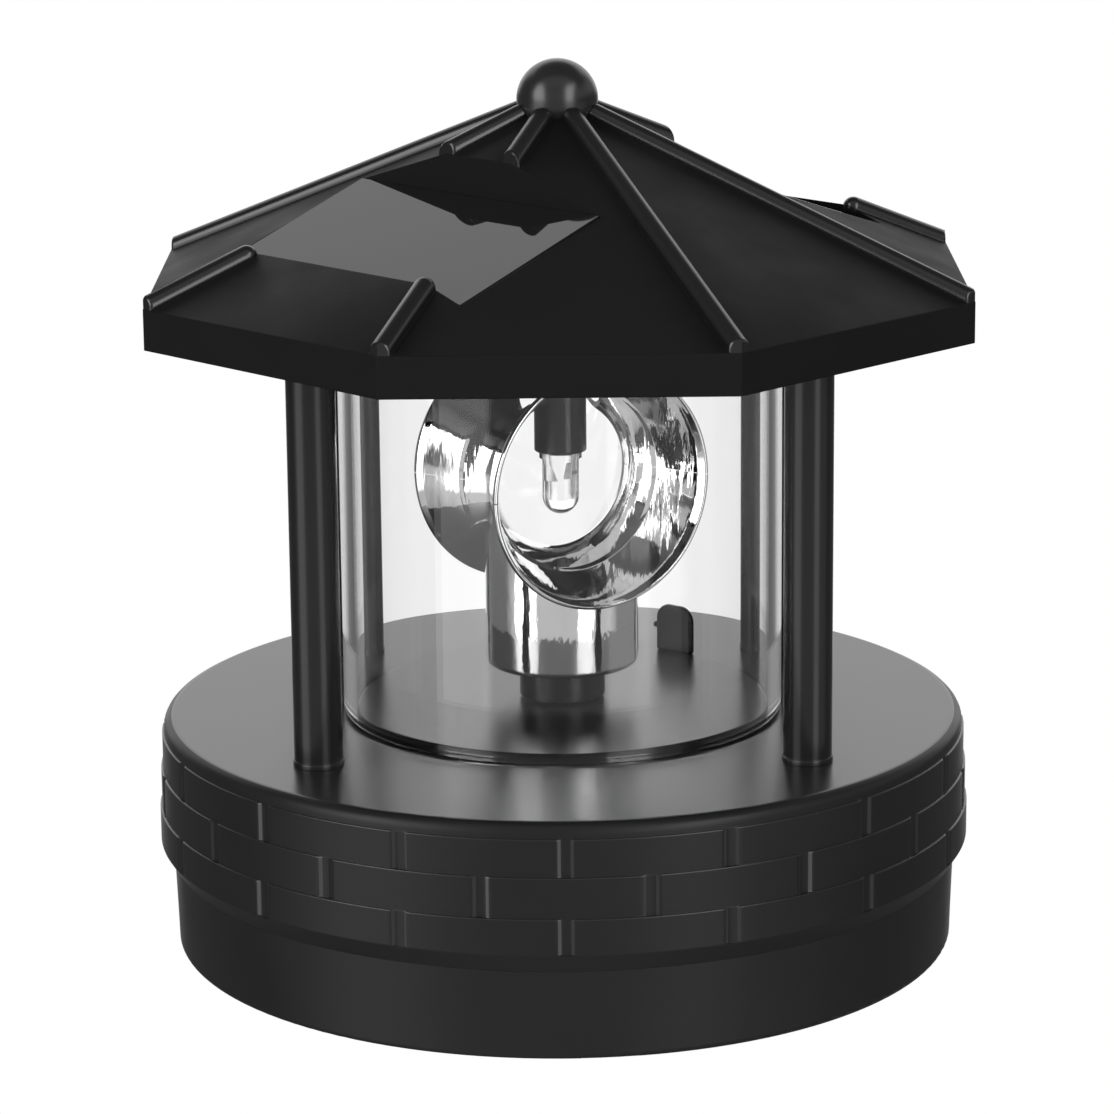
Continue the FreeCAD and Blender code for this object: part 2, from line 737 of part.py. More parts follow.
def spring():
    """The coil that presses the cell forward: three open turns between contact and cell."""
    wire = float(spring_wire)
    start = float(contact_thickness - bay_half_length) + wire + 0.03
    pitch = (float(spring_length) - 2 * wire - 0.06) / spring_turns
    helix = Part.makeHelix(pitch, pitch * spring_turns, float(spring_radius))
    section = Part.Wire(Part.makeCircle(wire, V(float(spring_radius), 0, 0), V(0, 1, 0)))
    coil = Part.Wire(helix.Edges).makePipeShell([section], True, True)
    coil.rotate(V(0, 0, 0), V(0, 1, 0), 90)
    coil.translate(V(start, float(bay_centre), float(cell_axis_height)))
    print("spring gap", round(pitch - 2 * wire, 2))
    return solid("spring", coil)


# ---------------------------------------------------------------------------------------------
# Switch and circuit board
# ---------------------------------------------------------------------------------------------

def switch():
    cavity_length = switch_length - 1.6
    cavity_width = switch_width - 2.2
    cavity_height = 2.2
    shell = box("switch_block", switch_length, switch_width, switch_height, switch_x, switch_y, floor_top)
    cavity = box("switch_cavity", cavity_length, cavity_width, cavity_height, switch_x, switch_y, floor_top)
    blades = []
    for n, offset in enumerate((-2.5, 0, 2.5)):
        blades.append(
            box(f"switch_blade{n}", 0.5, 1.2, 2.6, switch_x + offset, switch_y, floor_top + switch_height)
        )
    keep("switch_body", fuse("switch_shell", cut("switch_hollow", shell, cavity), *blades))
    rest_x = switch_x - slider_travel / 2
    shoe_length = cavity_length - slider_travel - loose_gap * 2
    shoe = box(
        "slider_shoe", shoe_length, cavity_width - 0.4, cavity_height - 0.3, rest_x, switch_y,
        floor_top + 0.1,
    )
    knob_bottom = floor_recess - knob_proud
    knob = box(
        "slider_knob", knob_length, knob_width, floor_top + 0.2 - knob_bottom, rest_x, switch_y,
        knob_bottom,
    )
    keep("switch_slider", fuse("slider", shoe, knob))


def circuit_board():
    plate = box("board_plate", board_width, board_length, board_thickness, board_x, board_y, board_level)
    holes = []
    for n, (x, y) in enumerate(board_screw_places):
        holes.append(
            cylinder(f"board_hole{n}", board_shank + 0.15, board_thickness + 2, x, y, board_level - 1)
        )
    keep("circuit_board", cut("board", plate, fuse("board_holes", *holes)))
    top = board_level + board_thickness
    chip = box("chip", 5.0, 4.0, 1.4, board_x - 4, board_y + 4, top)
    coil = cylinder("coil", 3.0, 3.6, board_x + 4.5, board_y + 5, top)
    capacitor = cylinder("capacitor", 2.5, 5.0, board_x + 4.5, board_y - 3.5, top)
    diode = box("diode", 4.2, 2.0, 1.6, board_x - 4.5, board_y - 3, top)
    keep("board_parts", group("board_part_set", chip, coil, capacitor, diode))


# ---------------------------------------------------------------------------------------------
# Gear train and motor
# ---------------------------------------------------------------------------------------------

def involute_point(base, radius, start):
    """A point of the involute of a base circle, turned by start, in radians."""
    roll = math.sqrt(max((radius / base) ** 2 - 1, 0))
    angle = start + roll - math.atan(roll)
    return V(radius * math.cos(angle), radius * math.sin(angle), 0)


def gear_shape(teeth, width, bore, turn):
    """A spur gear with involute flanks, thinned by the backlash, lying on z = 0."""
    module = float(tooth_module)
    pitch = module * teeth / 2
    base = pitch * math.cos(math.radians(20))
    tip = pitch + 0.9 * module
    root = pitch - 1.2 * module
    inv = math.tan(math.radians(20)) - math.radians(20)
    half = (math.pi * module / 2 - float(tooth_backlash) / 2) / (2 * pitch)
    start = max(base, root)
    steps = 5
    radii = [start + (tip - start) * i / (steps - 1) for i in range(steps)]
    points = []
    for tooth in range(teeth):
        middle = 2 * math.pi * tooth / teeth + math.radians(turn)
        right = [involute_point(base, r, middle - half - inv) for r in radii]
        left = [involute_point(base, r, -(half + inv)) for r in radii]
        left = [
            V(
                p.x * math.cos(middle) + p.y * math.sin(middle),
                p.x * math.sin(middle) - p.y * math.cos(middle), 0,
            ) for p in left
        ]
        foot = math.pi / teeth
        valley = middle - foot
        points.append(V(root * math.cos(valley), root * math.sin(valley), 0))
        lead_in = math.atan2(right[0].y, right[0].x)
        points.append(V(root * math.cos(lead_in), root * math.sin(lead_in), 0))
        points.extend(right if root < start - 1e-6 else right[1:])
        points.extend(reversed(left if root < start - 1e-6 else left[1:]))
        lead_out = math.atan2(left[0].y, left[0].x)
        points.append(V(root * math.cos(lead_out), root * math.sin(lead_out), 0))
    face = Part.Face(Part.makePolygon(points + [points[0]]))
    gear = face.extrude(V(0, 0, float(width)))
    return gear.cut(Part.makeCylinder(float(bore), float(width) + 2, V(0, 0, -1)))


def hub_ring(radius, bore, height, level):
    ring = Part.makeCylinder(float(radius), float(height), V(0, 0, float(level)))
    return ring.cut(Part.makeCylinder(float(bore), float(height) + 2, V(0, 0, float(level) - 1)))


def gears():
    """Motor pinion, idler with a wheel and a pinion, and the wheel on the mirror's shaft."""
    half_tooth = 180 / wheel_teeth
    wheel_bore = shaft_radius + snug_gap
    wheel = gear_shape(wheel_teeth, gear_width, wheel_bore, 90 + half_tooth)
    collar_height = deck_bottom - bush_flange_height - loose_gap - output_gear_level - gear_width
    wheel = wheel.fuse(hub_ring(3.5, wheel_bore, collar_height, gear_width)).removeSplitter()
    output = solid("output_gear", wheel)
    keep("output_gear", put(output, 0, 0, output_gear_level))

    idler_bore = idler_pin_radius + slip_gap
    big = gear_shape(wheel_teeth, gear_width, idler_bore, 90 + half_tooth)
    rise = output_gear_level - motor_gear_level
    small = gear_shape(pinion_teeth, gear_width, idler_bore, 270)
    small.translate(V(0, 0, float(rise)))
    neck = hub_ring(2.6, idler_bore, rise - gear_width, gear_width)
    idler = solid("idler_gear", big.fuse([neck, small]).removeSplitter())
    keep("idler_gear", put(idler, *idler_place, motor_gear_level))

    pinion = gear_shape(pinion_teeth, gear_width, motor_shaft_radius + snug_gap, 270)
    motor_pinion = solid("motor_pinion", pinion)
    keep("motor_pinion", put(motor_pinion, *motor_place, motor_gear_level))


def gear_plate():
    """The plate that closes the gear train from below and carries the motor."""
    body = doc.addObject("PartDesign::Body", "gear_plate_body")
    front_half, back_half = standoff_radius + 20.0, standoff_radius + 14.2
    back = motor_place[1] + 8.0
    sketch = outline(body, "gear_plate_outline", "XY_Plane", [
        (-front_half, -8), (front_half, -8), (front_half, 12), (back_half, back), (
            -back_half, back,
        ), (-front_half, 12),
    ])
    pad = body.newObject("PartDesign::Pad", "gear_plate_pad")
    pad.Profile = sketch
    bind(pad, Length=gear_plate_thickness)
    doc.recompute()
    put(body, 0, 0, gear_plate_level)
    deep = gear_plate_thickness + 2
    low = gear_plate_level - 1
    holes = [
        cylinder("shaft_pivot", shaft_radius + slip_gap, deep, 0, 0, low),
        cylinder("idler_pin_hole", idler_pin_radius + snug_gap, deep, *idler_place, low),
        cylinder("motor_hole", motor_boss_radius + 0.2, deep, *motor_place, low),
    ]
    for n, (x, y) in enumerate(standoff_places):
        holes.append(cylinder(f"plate_hole{n}", small_shank + 0.2, deep, x, y, low))
    for n, (x, y) in enumerate(motor_screw_places):
        holes.append(cylinder(f"motor_screw_hole{n}", motor_screw_shank + 0.15, deep, x, y, low))
    keep("gear_plate", cut("gear_plate_cut", body, fuse("plate_holes", *holes)))


def motor():
    bottom = gear_plate_level - motor_height
    can = cylinder("motor_drum", motor_radius, motor_height, *motor_place, bottom)
    nose = cylinder(
        "motor_nose", motor_boss_radius, gear_plate_thickness * 0.6, *motor_place, gear_plate_level,
    )
    bore_radius = motor_shaft_radius + slip_gap
    bore = cylinder("motor_bore", bore_radius, motor_height + 4, *motor_place, bottom + 2)
    threads = []
    for n, (x, y) in enumerate(motor_screw_places):
        threads.append(
            cylinder(
                f"motor_thread{n}", motor_screw_shank + snug_gap, motor_screw_length, x, y,
                gear_plate_level - 1.2,
            )
        )
    keep("motor_can", cut("motor_shell", fuse("motor_blank", can, nose), bore, *threads))
    cap = cylinder("motor_cap_disc", motor_radius - 0.6, 1.2, *motor_place, bottom - 1.2)
    keep("motor_endcap", cap)
    top = motor_gear_level + gear_width + 0.5
    start = bottom + 2.3
    keep("motor_shaft", cylinder("motor_spindle", motor_shaft_radius, top - start, *motor_place, start))


def shafts():
    bottom = gear_plate_level - 0.5
    top = hub_bottom + hub_socket_depth - 0.2
    keep("drive_shaft", cylinder("drive_rod", shaft_radius, top - bottom, 0, 0, bottom))
    pin_top = deck_bottom - 0.7
    keep(
        "idler_pin",
        cylinder("idler_rod", idler_pin_radius, pin_top - gear_plate_level, *idler_place, gear_plate_level),
    )
    bore = shaft_radius + slip_gap
    keep("shaft_bush", turned("bush", [
        (bore, deck_bottom - bush_flange_height), (bush_flange_radius, deck_bottom - bush_flange_height),
        (
            bush_flange_radius, deck_bottom,
        ), (bush_radius, deck_bottom), (bush_radius, boss_top), (bore, boss_top),
    ]))


# ---------------------------------------------------------------------------------------------
# Turning mirror
# ---------------------------------------------------------------------------------------------

def drive_hub():
    """The black stub on the shaft, with a disc that plugs the mirror's cup from below."""
    socket = shaft_radius + snug_gap
    plug_radius = cup_radius - cup_wall - snug_gap
    plug_bottom = cup_bottom + plug_recess
    socket_top = hub_bottom + hub_socket_depth
    keep("drive_hub", turned("hub", [
        (socket, hub_bottom), (hub_radius, hub_bottom), (hub_radius, plug_bottom), (plug_radius, plug_bottom),
        (plug_radius, plug_bottom + plug_thickness), (0, plug_bottom + plug_thickness), (0, socket_top),
        (socket, socket_top),
    ]))


def horn_pair(label, inset):
    """Both horns as one turned form about a level axis, inset by the wall for the inside."""
    lip = mouth_reach - lip_thickness
    flare = mouth_radius - horn_wall
    if inset:
        past = mouth_reach + 1
        points = [
            (0, -past), (flare, -past), (flare, -mouth_reach), (step_radius, -step_reach), (throat_radius, 0),
            (step_radius, step_reach), (flare, mouth_reach), (flare, past), (0, past),
        ]
    else:
        neck = flare + horn_wall * 0.4
        points = [
            (0, -mouth_reach), (mouth_radius, -mouth_reach), (mouth_radius, -lip), (neck, -lip),
            (step_radius + horn_wall, -step_reach), (throat_radius + horn_wall, 0),
            (step_radius + horn_wall, step_reach), (neck, lip), (mouth_radius, lip),
            (mouth_radius, mouth_reach), (0, mouth_reach),
        ]
    body = turned(label, points)
    level = FreeCAD.Rotation(V(1, 0, 0), 90)
    heading = turn_z(mirror_turn)
    return put(body, 0, 0, horn_height, heading.multiply(level))


def mirror():
    """A tubular cup under two opposite horns, moulded as a lower and an upper half."""
    bore = cup_radius - cup_wall
    cup = turned("cup", [
        (bore, cup_bottom), (cup_radius, cup_bottom), (cup_radius, horn_height), (bore, horn_height),
    ])
    round_edges(cup, "cup_edge", cup_round, lambda r, z: near(r, cup_radius) and near(z, cup_bottom))
    lamp_opening = cylinder("crown_opening", crown_hole, mouth_radius, 0, 0, horn_height + 1)
    removed = [horn_pair("horn_inside", True), lamp_opening]
    blank = fuse("mirror_blank", cup, horn_pair("horn_outside", False))
    whole = cut("mirror_whole", blank, fuse("mirror_spaces", *removed))
    span = mouth_radius * 4
    above = box("above_split", span, span, span, 0, 0, horn_height)
    keep("mirror_lower", cut("mirror_low_half", whole, above))
    keep("mirror_upper", common("mirror_top_half", whole, above))


# ---------------------------------------------------------------------------------------------
# Clear drum, posts, lamp
# ---------------------------------------------------------------------------------------------

def lamp_drum():
    inner = glass_radius - glass_wall
    keep("clear_drum", turned("drum", [
        (inner, deck_top), (glass_radius, deck_top), (glass_radius, ceiling_bottom), (inner, ceiling_bottom),
    ]))


def posts():
    """Hollow posts with a collar at the foot and a spigot at each end."""
    for label, (x, y) in POSTS.items():
        collar = post_radius + post_collar_step
        body = turned(label + "_tube", [
            (post_bore, deck_top - post_spigot_length), (post_spigot_radius, deck_top - post_spigot_length),
            (post_spigot_radius, deck_top), (collar, deck_top), (collar, deck_top + post_collar_height),
            (post_radius, deck_top + post_collar_height), (post_radius, ceiling_bottom),
            (post_spigot_radius, ceiling_bottom), (post_spigot_radius, ceiling_top + 0.5),
            (post_bore, ceiling_top + 0.5),
        ])
        keep(label, put(body, x, y, 0))


def lamp():
    keep("lamp_holder", turned("holder", [
        (holder_bore, holder_bottom), (holder_radius, holder_bottom), (holder_radius, ceiling_top),
        (holder_flange_radius, ceiling_top), (holder_flange_radius, ceiling_top + holder_flange_height),
        (holder_bore, ceiling_top + holder_flange_height),
    ]))
    shoulder = holder_bottom - led_flange_height
    dome_start = led_tip + led_radius
    stem = turned("led_stem", [
        (0, dome_start), (led_radius, dome_start), (led_radius, shoulder), (led_flange_radius, shoulder),
        (led_flange_radius, holder_bottom), (0, holder_bottom),
    ])
    dome = put(bind(doc.addObject("Part::Sphere", "led_dome"), Radius=led_radius), 0, 0, dome_start)
    lead_bottom = holder_bottom - led_flange_height - anvil_height * 1.6
    leads = []
    for n, side in enumerate((-0.5, 0.5)):
        leads.append(
            box(f"lead{n}", lead_width, lead_width, lead_length, lead_spacing * side, 0, lead_bottom)
        )
    anvil = box(
        "lead_anvil", lead_spacing * 0.75, lead_width * 2, anvil_height, lead_spacing * -0.25, 0,
        lead_bottom - anvil_height * 0.5,
    )
    post = box(
        "lead_post", lead_width * 1.6, lead_width * 1.4, anvil_height, lead_spacing * 0.5, 0,
        lead_bottom - anvil_height * 0.4,
    )
    cathode = fuse("cathode", leads[0], anvil)
    anode = fuse("anode", leads[1], post)
    frame = keep("led_leads", group("lead_frame", cathode, anode))
    keep("led_lens", cut("led_body", fuse("led_blank", stem, dome), frame))


# ---------------------------------------------------------------------------------------------
# Roof
# ---------------------------------------------------------------------------------------------

FACE_TURN = FreeCAD.Rotation(Z_AXIS, 22.5)      # a flat side of the octagon faces the front


def octagon(name, circumradius, level):
    feature = bind(doc.addObject("Part::RegularPolygon", name), Circumradius=circumradius)
    feature.Polygon = 8
    return put(feature, 0, 0, level, FACE_TURN)


def octagon_prism(name, circumradius, height, level):
    feature = bind(doc.addObject("Part::Prism", name), Circumradius=circumradius, Height=height)
    feature.Polygon = 8
    return put(feature, 0, 0, level, FACE_TURN)


def octagon_spire(name, low_radius, low_level, high_radius, high_level):
    feature = doc.addObject("Part::Loft", name)
    feature.Sections = [
        octagon(name + "_low", low_radius, low_level), octagon(name + "_high", high_radius, high_level),
    ]
    feature.Solid = True
    feature.Ruled = True
    return feature


def roof_ribs():
    """Round bars lying along the eight ridges, trimmed flush with the fascia."""
    drop = float(roof_apex - fascia_top)
    reach = float(roof_corner_radius)
    length = math.hypot(drop, reach)
    tilt = math.degrees(math.atan2(reach, -drop))
    bars = []
    for n in range(8):
        bar = bind(doc.addObject("Part::Cylinder", f"rib{n}"), Radius=rib_radius)
        bar.Height = length + float(rib_radius) * 2
        heading = turn_z(22.5 + 45 * n)
        lean = FreeCAD.Rotation(V(0, 1, 0), tilt)
        bar.Placement = FreeCAD.Placement(V(0, 0, float(roof_apex)), heading.multiply(lean))
        bars.append(bar)
    tall = octagon_prism("rib_limit", roof_corner_radius, roof_apex - fascia_top + 10, fascia_top - 4)
    return common("ribs", fuse("rib_bars", *bars), tall)


def pocket_slab(name, side_growth, drop, height, heading):
    """The plan rectangle of a panel, grown all round, above a plane parallel to the panel's face."""
    length = panel_outer - panel_inner + side_growth * 2
    width = (panel_half_width + side_growth) * 2
    upright = bind(doc.addObject("Part::Box", name + "_plan"), Length=length, Width=width)
    upright.Height = 60
    turn = turn_z(heading)
    corner = V(float(panel_inner - side_growth), -float(width) / 2, float(panel_low_height) - 30)
    upright.Placement = FreeCAD.Placement(turn.multVec(corner), turn)
    slab = doc.addObject("Part::Box", name + "_slab")
    slab.Length, slab.Width = 140, 100
    slab.Height = float(height)
    lean = FreeCAD.Placement(V(0, 0, 0), FreeCAD.Rotation(V(0, 1, 0), float(panel_pitch)))
    centre = FreeCAD.Placement(V(-70, -50, -float(drop)), FreeCAD.Rotation())
    edge = FreeCAD.Placement(V(float(panel_outer), 0, float(panel_low_height)), FreeCAD.Rotation())
    slab.Placement = FreeCAD.Placement(V(0, 0, 0), turn).multiply(edge).multiply(lean).multiply(centre)
    return common(name, upright, slab)


PANEL_HEADINGS = {"front": 225, "rear": 45}


def roof():
    corner = as_size(1) / corner_cosine
    cap = 2.0
    outer = fuse(
        "roof_outside",
        octagon_prism("fascia", roof_corner_radius, fascia_height, eave_height),
        octagon_spire(
            "roof_slopes", roof_corner_radius, fascia_top, corner * cap, roof_apex - roof_slope * cap,
        ),
    )
    knee = inner_apex - inner_apothem * roof_slope
    inner_cap = (inner_apex - roof_cap_height) / roof_slope
    hollow = fuse(
        "roof_inside",
        octagon_prism("fascia_inside", inner_apothem * corner, knee - eave_height + 1, eave_height - 1),
        octagon_spire("slopes_inside", inner_apothem * corner, knee, inner_cap * corner, roof_cap_height),
    )
    backings, pockets = [], []
    for name, heading in PANEL_HEADINGS.items():
        backings.append(
            pocket_slab(f"backing_{name}", pocket_floor, panel_thickness + pocket_floor, 60, heading)
        )
        pockets.append(pocket_slab(f"pocket_{name}", as_size(0), panel_thickness, 60, heading))
        reach = (panel_inner + panel_outer) / 2
        x, y = reach * cos(heading), reach * sin(heading)
        pockets.append(cylinder(f"wire_hole_{name}", panel_wire_hole, 20, x, y, panel_low_height - 6))
    hollow = cut("roof_hollow", hollow, fuse("backings", *backings))
    bosses = []
    pilots = []
    for n, (x, y) in enumerate(roof_screw_places):
        bosses.append(cylinder(f"roof_boss{n}", roof_boss_radius, 8, x, y, ceiling_top))
        pilots.append(
            cylinder(
                f"roof_pilot{n}", small_shank + snug_gap, roof_screw_length - ceiling_thickness, x, y,
                ceiling_top - 0.2,
            )
        )
    bosses = common("roof_bosses", fuse("boss_bars", *bosses), outer)
    shell = cut("roof_skin", fuse("roof_ribbed", outer, roof_ribs()), hollow)
    seat = put(
        bind(doc.addObject("Part::Sphere", "finial_seat"), Radius=finial_radius + slip_gap), 0, 0,
        finial_height,
    )
    stem_hole = cylinder("finial_hole", finial_stem_radius + snug_gap, 20, 0, 0, roof_cap_height - 2)
    removed = fuse("roof_spaces", *pockets, *pilots, seat, stem_hole)
    keep("roof_shell", cut("roof_cut", fuse("roof_bossed", shell, bosses), removed))

    ball = put(
        bind(doc.addObject("Part::Sphere", "finial_sphere"), Radius=finial_radius), 0, 0, finial_height,
    )
    stem = cylinder("finial_stem", finial_stem_radius, finial_height - roof_cap_height, 0, 0, roof_cap_height)
    keep("finial_ball", fuse("finial", ball, stem))
    for name, heading in PANEL_HEADINGS.items():
        keep(
            f"solar_panel_{name}",
            pocket_slab(f"panel_{name}", -panel_gap, panel_thickness, panel_thickness, heading),
        )


def ceiling():
    """The plate that closes the roof from below and seats the drum, the posts and the lamp."""
    corner = as_size(1) / corner_cosine
    plate = octagon_prism(
        "ceiling_disc", (inner_apothem - ceiling_gap) * corner, ceiling_thickness, ceiling_bottom,
    )
    collar_bore = glass_radius + glass_seat_gap
    collar = turned("collar", [
        (collar_bore, ceiling_bottom - collar_depth), (
            collar_bore + collar_wall, ceiling_bottom - collar_depth,
        ),
        (collar_bore + collar_wall, ceiling_bottom), (collar_bore, ceiling_bottom),
    ])
    deep = ceiling_thickness + 2
    low = ceiling_bottom - 1
    holes = [cylinder("holder_hole", holder_radius + snug_gap, deep, 0, 0, low)]
    for n, (x, y) in enumerate(post_places):
        holes.append(cylinder(f"post_top_hole{n}", post_spigot_radius + snug_gap, deep, x, y, low))
    for n, (x, y) in enumerate(roof_screw_places):
        holes.append(cylinder(f"roof_screw_hole{n}", small_shank + 0.2, deep, x, y, low))
    keep(
        "ceiling_plate",
        cut("ceiling_cut", fuse("ceiling_blank", plate, collar), fuse("ceiling_holes", *holes)),
    )


# ---------------------------------------------------------------------------------------------
# Wires.  Each is one unbroken run: straight stretches joined by tangent arcs.
# ---------------------------------------------------------------------------------------------

def rounded_path(points, widest, share=0.45):
    """Straight runs joined by arcs as large as the two runs beside each corner allow."""
    edges, here = [], points[0]
    tightest = None
    for before, corner, after in zip(points, points[1:], points[2:]):
        run_in, run_out = before - corner, after - corner
        half_turn = (math.pi - run_in.getAngle(run_out)) / 2
        if half_turn < 1e-3:
            continue
        setback = min(widest, share * min(run_in.Length, run_out.Length))
        radius = setback / math.tan(half_turn)
        start = corner + V(run_in).normalize() * setback
        end = corner + V(run_out).normalize() * setback
        inward = (V(run_in).normalize() + V(run_out).normalize()).normalize()
        middle = corner + inward * (radius / math.cos(half_turn) - radius)
        edges.append(Part.LineSegment(here, start).toShape())
        edges.append(Part.Arc(start, middle, end).toShape())
        here = end
        tightest = radius if tightest is None else min(tightest, radius)
    edges.append(Part.LineSegment(here, points[-1]).toShape())
    return Part.Wire(edges), tightest


def wire(label, points, widest=2.5):
    points = [V(*(float(number) for number in point)) for point in points]
    path, tightest = rounded_path(points, widest)
    first = points[1] - points[0]
    section = Part.Wire(Part.makeCircle(float(wire_radius), points[0], first))
    tube = path.makePipeShell([section], True, False)
    expected = math.pi * float(wire_radius) ** 2 * path.Length
    print(
        label, "length", round(path.Length, 1), "tightest", round(tightest, 2), "volume",
        round(tube.Volume / expected, 4),
    )
    keep(label, solid(label, tube))


def wires():
    left_x, left_y = POSTS["post_front_left"]
    right_x, right_y = POSTS["post_front_right"]
    beside = (wire_radius + 0.25) * sin(45)
    over_posts = ceiling_top + 1.3
    above = ceiling_top + 2.6
    board_top = board_level + board_thickness
    row_y = board_y - 8
    seat = panel_low_height + (panel_outer - panel_inner) / 2 * tan(panel_pitch)
    seat = seat - panel_thickness / cos(panel_pitch) - 0.25
    reach = (panel_inner + panel_outer) / 2
    front_x, front_y = reach * cos(225), reach * sin(225)
    rear_x, rear_y = reach * cos(45), reach * sin(45)
    first_x, first_y = left_x + beside, left_y - beside
    second_x, second_y = left_x - beside, left_y + beside

    def to_board(offset):
        x = board_x + offset
        return [(x, row_y - 5, board_top + 5.5), (x, row_y, board_top + 4), (x, row_y, board_top + 0.05)]

    wire("panel_wire_front", [
        (front_x, front_y, seat), (front_x, front_y, above), (first_x, first_y, over_posts),
        (first_x, first_y, deck_bottom - 5), (left_x - 2.8, left_y + 13, 17), *to_board(-6),
    ])
    wire("lamp_wire", [
        (0, 0, ceiling_top + holder_flange_height - 5), (0, 0, above + 1), (-12, -6, above + 0.6),
        (second_x, second_y, over_posts), (second_x, second_y, deck_bottom - 4),
        (left_x + 0.2, left_y + 13, 18), *to_board(-2.5),
    ])
    wire("panel_wire_rear", [
        (rear_x, rear_y, seat), (rear_x, rear_y, above + 1), (30, 4, above), (right_x, right_y, above),
        (right_x, right_y, deck_bottom - 3), (18, -32, 24), (-6, -34, 24), (-24, -16, 22), *to_board(4),
    ])
    tag_x = bay_half_length - contact_thickness / 2
    tag_top = bay_inner_top + bay_wall + contact_tag_rise + 0.05
    wire("battery_wire_plus", [
        (tag_x, bay_centre, tag_top), (tag_x, bay_centre, tag_top + 3), (2, -21, 22.5), (-12, -14, 21.5),
        (-20, -12.5, 16), *to_board(7.5),
    ])
    wire("battery_wire_minus", [
        (-tag_x, bay_centre, tag_top), (-tag_x, bay_centre, tag_top + 3), (-28, -14, 21), *to_board(0.5),
    ])
    motor_x, motor_y = motor_place
    side_x = motor_x - motor_radius
    for label, shift in (("motor_wire_plus", 1.2), ("motor_wire_minus", -1.2)):
        end_y = board_y + 11.5 + shift
        wire(label, [
            (side_x, motor_y + shift, 10), (side_x - 5, motor_y + shift, 10), (board_x + 9, end_y, 13.5),
            (board_x + 3, end_y, 13.5), (board_x + 3, end_y, board_top + 0.05),
        ])


# ---------------------------------------------------------------------------------------------
# Build every sub-part, check it and write it
# ---------------------------------------------------------------------------------------------

base_housing()
plinth_cup()
battery_door()
battery()
switch()
circuit_board()
gears()
gear_plate()
motor()
shafts()
drive_hub()
mirror()
lamp_drum()
posts()
lamp()
roof()
ceiling()
wires()
screw_set(
    "case_screws", case_screw_places, case_head_radius, 1.8, case_shank, case_screw_length, case_head_level,
    True,
)
screw_set(
    "gear_plate_screws", standoff_places, 2.0, 1.5, small_shank, plate_screw_length, gear_plate_level, True,
)
screw_set(
    "roof_screws", roof_screw_places, 2.0, 1.3, small_shank, roof_screw_length - 0.4, ceiling_bottom, True,
)
screw_set(
    "board_screws", board_screw_places, 1.8, 1.2, board_shank, board_screw_length - 0.4,
    board_level + board_thickness, False,
)
screw_set(
    "motor_screws", motor_screw_places, 1.3, 0.9, motor_screw_shank, motor_screw_length,
    gear_plate_level + gear_plate_thickness, False,
)
doc.recompute()

for feature in doc.Objects:
    bad = [state for state in feature.State if state in ("Invalid", "Error")]
    if bad:
        raise RuntimeError(f"{feature.Label}: {bad}")
for label, feature in finished.items():
    if feature.Shape.isNull() or not feature.Shape.isValid():
        raise RuntimeError(f"{label} has no sound shape")
for label, feature in sorted(finished.items()):
    feature.Shape.exportStep(f"parts/{label}.step")
print(len(finished), "sub-parts written")
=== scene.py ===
import bmesh, bpy, json, math
from mathutils import Matrix, Vector


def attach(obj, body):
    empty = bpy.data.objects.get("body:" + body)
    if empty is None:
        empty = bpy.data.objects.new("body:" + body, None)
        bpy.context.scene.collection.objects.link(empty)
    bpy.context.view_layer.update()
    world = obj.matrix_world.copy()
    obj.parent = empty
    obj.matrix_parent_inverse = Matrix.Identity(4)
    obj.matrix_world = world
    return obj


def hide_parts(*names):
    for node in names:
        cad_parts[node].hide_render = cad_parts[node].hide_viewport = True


# %% [markdown]
# # A solar lighthouse lamp head
# The real object is a garden lamp: a black plastic base with a brick pattern, four posts, a
# clear drum with a chromed mirror that turns round a small lamp, and an eight-sided roof with
# two solar panels.  Its CAD solids come in as the frame, which says where every piece is and
# how it moves.  Over them this script models finer pieces, one at a time, and each stands for
# the CAD node of the same place.  The pieces' sizes are written in real millimetres.  The
# camera's distances, the floor's radius and the distances for merging points are in metres.

# %% Load the frame
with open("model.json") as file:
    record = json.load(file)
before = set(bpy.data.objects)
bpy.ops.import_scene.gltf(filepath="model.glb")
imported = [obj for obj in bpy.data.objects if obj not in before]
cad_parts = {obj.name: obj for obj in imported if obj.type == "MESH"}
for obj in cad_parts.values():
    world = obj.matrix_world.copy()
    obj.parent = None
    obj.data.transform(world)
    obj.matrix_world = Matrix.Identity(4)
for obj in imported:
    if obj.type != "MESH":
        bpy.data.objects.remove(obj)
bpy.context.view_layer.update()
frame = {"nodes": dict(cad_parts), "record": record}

MM = 0.001
TURN = 2 * math.pi

# %% [markdown]
# ## Tools for modelling
# Most pieces of this lamp are turned forms, so one pair of helpers draws nearly all of them.
# A piece starts as an outline of (radius, height) corners, where a third number is the radius
# of a rounding.  `rounded` draws those arcs and `turned` spins the result.  A Screw modifier
# could spin it too, but the operator's mesh can be joined and cut at once.

# %% Outline and spin
ON_AXIS = 1e-7


